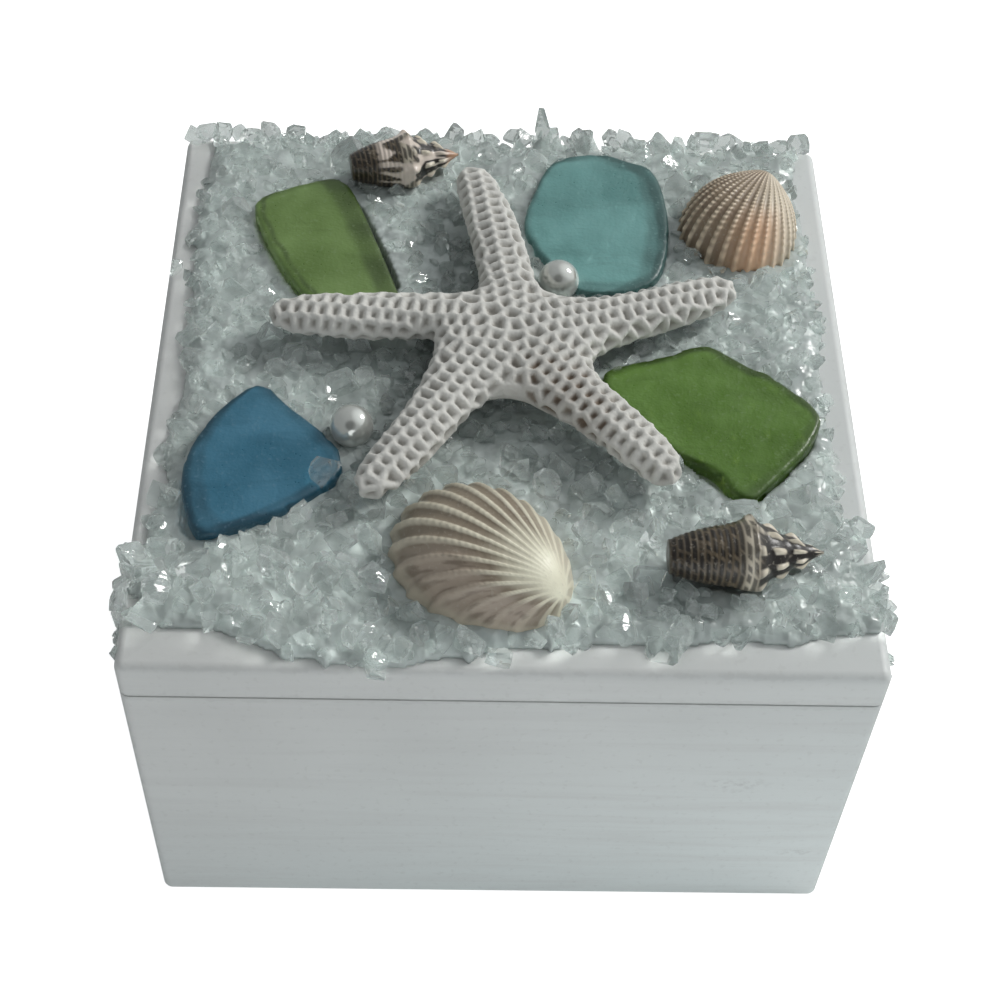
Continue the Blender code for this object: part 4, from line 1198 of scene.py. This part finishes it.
def back_cockle_color(share, growth, wave, point):
    """Tan ribs and beads in growth bands, grooves and the gaps between beads painted dark as painted shade, the
    right side painted lighter, partly cream and partly painted light, and a peach blush near the margin.
    """
    tan = (0.90, 0.76, 0.58)
    groove_shade_brown = (0.27, 0.20, 0.14)
    # Painted shade: the grooves and the gaps between the beads are painted brown
    crest = step(-0.45, 0.45, wave + 0.3 * wobble(point, 1000.0))
    color = blend(groove_shade_brown, tan, crest)
    beads = 0.5 + 0.5 * math.cos(math.tau * BEADS * growth)
    color = blend(color, groove_shade_brown, 0.55 * (1.0 - beads))
    band = step(0.25, 0.75, 0.5 + 0.5 * math.sin(math.tau * 4.0 * growth ** 1.3 + 1.5 * wobble(point, 200.0)))
    color = blend(color, (0.40, 0.31, 0.21), 0.35 * band)
    # Painted light: the right side is painted lighter, partly its cream colour and partly light falling from the
    # right
    light = step(0.10, 0.25, share) * (1.0 - step(0.34, 0.48, share))
    color = blend(color, (0.95, 0.86, 0.70), 0.60 * light)
    peach = math.exp(-((share - 0.40) / 0.07) ** 2) * step(0.50, 0.85, growth)
    return blend(color, (0.90, 0.55, 0.34), 0.75 * peach)


class SHELL_BOX_OT_cockles(Operator):
    """Make the two ribbed cockle shells"""

    bl_idname = "shell_box.cockles"
    bl_label = "Cockle Shells"

    def execute(self, context):
        shells = context.scene.shell_box_shells
        pieces = (
            ("ribbed_cockle_front", "cockle_front", "cream_shell", (0.066, -0.403), 146.0,
             0.0250, 0.0212, 0.0092, shells.ribs, 0.16, 0.510, front_cockle_color),
            ("ribbed_cockle_back", "cockle_back", "tan_shell", (0.386, 0.371), 240.0,
             0.0190, 0.0178, 0.0086, shells.ribs + 7, 0.5, 0.524, back_cockle_color),
        )
        for name, node, slot, place, heading, length, width, height, ribs, bead, reach, color_at in pieces:
            low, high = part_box(node)
            beak = Vector((place[0] * SIDE, place[1] * SIDE))
            outer, inner = cockle_surface(
                beak, heading, length, width, height, low.z, ribs, shells.rib_height, shells.wall, bead, reach)
            builder = bmesh.new()
            layer = builder.verts.layers.float_color.new("shell_color")
            columns = ribs * 12
            shares = wrapped_grid(builder, columns, 104, outer)
            # The shell keeps to the middle of its CAD solid
            middle = []
            for axis in (0, 1):
                places = [vertex.co[axis] for vertex, turn, share in shares]
                middle.append((min(places) + max(places)) / 2.0)
            cad_middle = (low + high) / 2.0
            shift = Vector((cad_middle.x - middle[0], cad_middle.y - middle[1], 0.0))
            for vertex, turn, share in shares:
                growth = 0.02 + 0.98 * share
                wave = 2.0 * (0.5 - 0.5 * math.cos(math.tau * ribs * turn)) ** 1.7 - 1.0
                vertex[layer] = (*color_at(turn, growth, wave, vertex.co), 1.0)
            for vertex, turn, share in wrapped_grid(builder, columns, 10, inner):
                vertex[layer] = (0.45, 0.41, 0.36, 1.0)
            bmesh.ops.remove_doubles(builder, verts=builder.verts, dist=2e-6)
            # The two sides are joined at the margin and closed at the beak
            lower, upper = [], []
            for edge in open_edges(builder):
                at_margin = max(vertex.co.z for vertex in edge.verts) < low.z + 0.0004
                (lower if at_margin else upper).append(edge)
            bmesh.ops.bridge_loops(builder, edges=lower)
            bmesh.ops.holes_fill(builder, edges=upper, sides=0)
            bmesh.ops.translate(builder, verts=builder.verts, vec=shift)
            bmesh.ops.recalc_face_normals(builder, faces=builder.faces)
            finish = shell_finish(slot + "_finish", 0.42)
            add_piece(name, builder, finish, slot, node, sharp=180.0)
        return {"FINISHED"}


# ---------------------------------------------------------------- whelks


def whelk_radius(share, turn, diameter, knob):
    """A whelk's radius at a share of its length from the tip of its spire, and a turn round its axis."""
    spire = 0.88 * min(1.0, share / 0.46) ** 0.80
    phase = (share * WHORLS + turn) % 1.0
    whorl = 0.5 * (1.0 + math.cos(math.tau * phase))
    fade = max(0.0, 1.0 - share / 0.50)
    radius = spire * (1.0 - 0.15 * whorl * fade)
    if share > 0.50:
        fall = (share - 0.50) / 0.50
        radius *= 1.0 - 0.46 * fall ** 2.2
    radius *= 1.0 + 0.16 * math.exp(-((share - 0.47) / 0.10) ** 2)
    bumps = max(0.0, math.cos(math.tau * KNOBS * turn)) ** 1.3
    rows = step(0.06, 0.16, share) * (1.0 - step(0.46, 0.60, share)) * (0.5 - 0.5 * math.cos(math.tau * phase))
    fine = 0.02 * math.cos(math.tau * 26.0 * share) * step(0.5, 0.6, share)
    return 0.5 * diameter * max(0.05, radius + fine * 0.6) + knob * bumps * rows


def whelk_color(share, turn, point, front):
    """Dark dashes in rows on the body, pale knobs on the spire, and on the back whelk pale flames."""
    dark = (0.012, 0.009, 0.007)
    body = (0.155, 0.12, 0.078)
    cream = (0.78, 0.71, 0.58)
    phase = (share * WHORLS + turn) % 1.0
    row = share * 24.0 + 0.25 * wobble(point, 260.0)
    dash = noise.noise(Vector((turn * 34.0 + 0.9 * row, math.floor(row) * 1.7, 1.0)))
    lane = step(0.06, 0.26, 0.5 - abs((row % 1.0) - 0.5))
    inked = step(-0.42, -0.05, dash) * lane
    color = blend(body, dark, 0.92 * inked)
    color = blend(color, dark, 0.45 * step(0.72, 0.95, share))
    band = math.exp(-((share - 0.50) / 0.050) ** 2)
    color = blend(color, blend(cream, dark, 0.75 * inked), 0.9 * band)
    if share < 0.47:
        bumps = max(0.0, math.cos(math.tau * KNOBS * turn)) ** 0.7
        knob = bumps * (0.5 - 0.5 * math.cos(math.tau * phase))
        spire = blend(dark, cream, step(0.14, 0.40, knob + 0.35 * wobble(point, 900.0)))
        color = blend(spire, color, step(0.40, 0.47, share))
    if not front:
        flame = noise.noise(Vector((math.cos(math.tau * turn) * 3.2, math.sin(math.tau * turn) * 3.2, share * 5.0)))
        flame = step(-0.02, 0.16, flame + 0.20 * wobble(point, 900.0))
        color = blend(color, (0.86, 0.75, 0.66), 0.90 * flame * (1.0 - step(0.70, 0.80, share)))
        color = blend(color, (0.62, 0.34, 0.20), 0.8 * (1.0 - step(0.05, 0.15, share)))
    return color


class SHELL_BOX_OT_whelks(Operator):
    """Make the two small whelks"""

    bl_idname = "shell_box.whelks"
    bl_label = "Whelk Shells"

    def execute(self, context):
        shells = context.scene.shell_box_shells
        pieces = (
            ("spired_whelk_front", "whelk_front", (0.212, -0.351), 3.0, 0.0208, 0.0096, True),
            ("spired_whelk_back", "whelk_back", (-0.233, 0.381), 12.0, 0.0170, 0.0086, False),
        )
        finish = shell_finish("dark_whelk", 0.34)
        for name, node, place, heading, length, diameter, front in pieces:
            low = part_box(node)[0]
            along, across = directions(heading)
            start = Vector((place[0] * SIDE, place[1] * SIDE, low.z + diameter * 0.49))

            def place_at(turn, share):
                radius = whelk_radius(1.0 - share, turn, diameter, shells.knob)
                side = across * math.cos(math.tau * turn) + Vector((0.0, 0.0, math.sin(math.tau * turn)))
                point = start + along * length * share + side * radius
                return Vector((point.x, point.y, max(point.z, low.z)))

            builder = bmesh.new()
            layer = builder.verts.layers.float_color.new("shell_color")
            for vertex, turn, share in wrapped_grid(builder, 108, 150, place_at):
                vertex[layer] = (*whelk_color(1.0 - share, turn, vertex.co, front), 1.0)
            bmesh.ops.remove_doubles(builder, verts=builder.verts, dist=2e-6)
            bmesh.ops.holes_fill(builder, edges=open_edges(builder), sides=0)
            bmesh.ops.recalc_face_normals(builder, faces=builder.faces)
            add_piece(name, builder, finish, "dark_shell", node, sharp=180.0)
        return {"FINISHED"}


# ---------------------------------------------------------------- stage


def aim(item, target):
    """Turn a light to its target."""
    item.rotation_mode = "QUATERNION"
    item.rotation_quaternion = (target - item.location).to_track_quat("-Z", "Y")


def area_light(name, shape, size, power, color, place, target):
    """An area light at a place, aimed at its target."""
    light = bpy.data.lights.new(name, "AREA")
    light.shape = shape
    light.size = size[0]
    light.size_y = size[1]
    light.energy = power
    light.color = color
    item = bpy.data.objects.new(name, light)
    bpy.context.scene.collection.objects.link(item)
    item.location = place
    aim(item, target)


def panel_light(name, azimuth, elevation, distance, size, power, color):
    """A soft round light that points at the lid from an azimuth: 0 is the right and 90 the back."""
    rise = math.radians(elevation)
    target = Vector((0.0, 0.0, DECK))
    way = directions(azimuth)[0] * math.cos(rise) + Vector((0.0, 0.0, math.sin(rise)))
    area_light(name, "DISK", (size, size), power, color, target + distance * way, target)


def lay_floor(color):
    """A wide plain floor that looks evenly white to the camera and throws soft light back at the box."""
    material, wire, shader, place = finish_named("pale_floor", Roughness=0.9, Emission_Strength=1.0)
    soft = wire.spread(wire.noise(place, 12.0, 2.0), 0.3, 0.7, 0.0, 0.4)
    wire.feed(shader.inputs["Base Color"], wire.mix(soft, color, shaded(color, 0.985)))
    seen = wire.node("ShaderNodeLightPath").outputs["Is Camera Ray"]
    wire.feed(shader.inputs["Emission Color"], wire.mix(seen, (0.0, 0.0, 0.0), (0.80, 0.80, 0.80)))
    builder = bmesh.new()
    bmesh.ops.create_grid(builder, x_segments=1, y_segments=1, size=3.0)
    bmesh.ops.translate(builder, verts=builder.verts, vec=(0.0, 0.0, BODY_LOW.z - 0.0002))
    mesh = bpy.data.meshes.new("pale_floor")
    builder.to_mesh(mesh)
    builder.free()
    mesh.materials.append(material)
    floor = bpy.data.objects.new("pale_floor", mesh)
    bpy.context.scene.collection.objects.link(floor)


def soft_sky(strength):
    """White to the camera, and an even light that is brighter at the back right and has one dark patch."""
    world = bpy.data.worlds.new("soft_sky")
    bpy.context.scene.world = world
    world.use_nodes = True
    wire = Wiring(world.node_tree)
    background = world.node_tree.nodes["Background"]
    seen = wire.node("ShaderNodeLightPath").outputs["Is Camera Ray"]
    way = wire.node("ShaderNodeTexCoord").outputs["Generated"]
    glow = wire.vector("DOT_PRODUCT", way, (0.72, 0.36, 0.59), "Value")
    shade = wire.vector("DOT_PRODUCT", way, (-0.10, -0.60, 0.79), "Value")
    level = wire.math("ADD", wire.spread(glow, 0.55, 0.95, 0.90, 2.4), wire.spread(shade, 0.84, 0.97, 0.0, -0.85))
    level = wire.math("MULTIPLY", level, strength)
    level = wire.math("MULTIPLY", level, wire.math("SUBTRACT", 1.0, seen))
    wire.feed(background.inputs["Color"], (0.955, 0.99, 1.0, 1.0))
    wire.feed(background.inputs["Strength"], wire.math("ADD", level, seen))


def photo_camera():
    """The camera that was fitted to the box's edges in the photograph."""
    scene = bpy.context.scene
    camera = bpy.data.objects.new("photo_camera", bpy.data.cameras.new("photo_camera"))
    scene.collection.objects.link(camera)
    camera.data.lens = 68.3
    camera.data.sensor_width = 36.0
    camera.data.clip_start = 0.01
    camera.data.clip_end = 20.0
    camera.matrix_world = Matrix((
        (0.999454, -0.016893, -0.028394, -0.0081),
        (-0.003974, 0.791685, -0.610917, -0.1838),
        (0.032799, 0.610696, 0.791185, 0.2722),
        (0.0, 0.0, 0.0, 1.0),
    ))
    scene.camera = camera
    scene.view_settings.view_transform = "Standard"


class SHELL_BOX_OT_stage(Operator):
    """Set up the floor, the lights and the camera"""

    bl_idname = "shell_box.stage"
    bl_label = "Stage"

    def execute(self, context):
        stage = context.scene.shell_box_stage
        lay_floor(tuple(stage.floor))
        soft_sky(stage.sky)
        panel_light("key_light", 30.0, 34.0, 0.90, 0.21, stage.key, (1.0, 0.99, 0.97))
        panel_light("front_fill", -86.0, 7.0, 1.20, 0.90, stage.fill, (0.95, 0.99, 1.0))
        # A low strip lifts the lower part of the front, as light thrown back by a table does
        area_light("floor_glow", "RECTANGLE", (0.40, 0.05), stage.fill * 0.036, (0.93, 0.99, 1.0),
                   Vector((0.05, -0.25, 0.006)), Vector((0.02, -0.05, 0.002)))
        photo_camera()
        return {"FINISHED"}


# ---------------------------------------------------------------- panel and registration


OPERATORS = (
    SHELL_BOX_OT_painted_wood,
    SHELL_BOX_OT_crushed_glass,
    SHELL_BOX_OT_starfish,
    SHELL_BOX_OT_sea_glass,
    SHELL_BOX_OT_pearls,
    SHELL_BOX_OT_cockles,
    SHELL_BOX_OT_whelks,
    SHELL_BOX_OT_stage,
)


class SHELL_BOX_PT_panel(Panel):
    """The steps that dress the box"""

    bl_idname = "SHELL_BOX_PT_panel"
    bl_label = "Shell Box"
    bl_space_type = "VIEW_3D"
    bl_region_type = "UI"
    bl_category = "Shell Box"

    def draw(self, context):
        for operator in OPERATORS:
            self.layout.operator(operator.bl_idname)


def register():
    for group in GROUPS.values():
        bpy.utils.register_class(group)
    for name, group in GROUPS.items():
        setattr(bpy.types.Scene, name, PointerProperty(type=group))
    for operator in OPERATORS:
        bpy.utils.register_class(operator)
    bpy.utils.register_class(SHELL_BOX_PT_panel)


def unregister():
    bpy.utils.unregister_class(SHELL_BOX_PT_panel)
    for operator in reversed(OPERATORS):
        bpy.utils.unregister_class(operator)
    for name, group in GROUPS.items():
        delattr(bpy.types.Scene, name)
        bpy.utils.unregister_class(group)


def main():
    """Dress the box."""
    register()
    bpy.ops.shell_box.painted_wood()
    bpy.ops.shell_box.crushed_glass()
    bpy.ops.shell_box.starfish()
    bpy.ops.shell_box.sea_glass()
    bpy.ops.shell_box.pearls()
    bpy.ops.shell_box.cockles()
    bpy.ops.shell_box.whelks()
    bpy.ops.shell_box.stage()


if __name__ == "__main__":
    main()
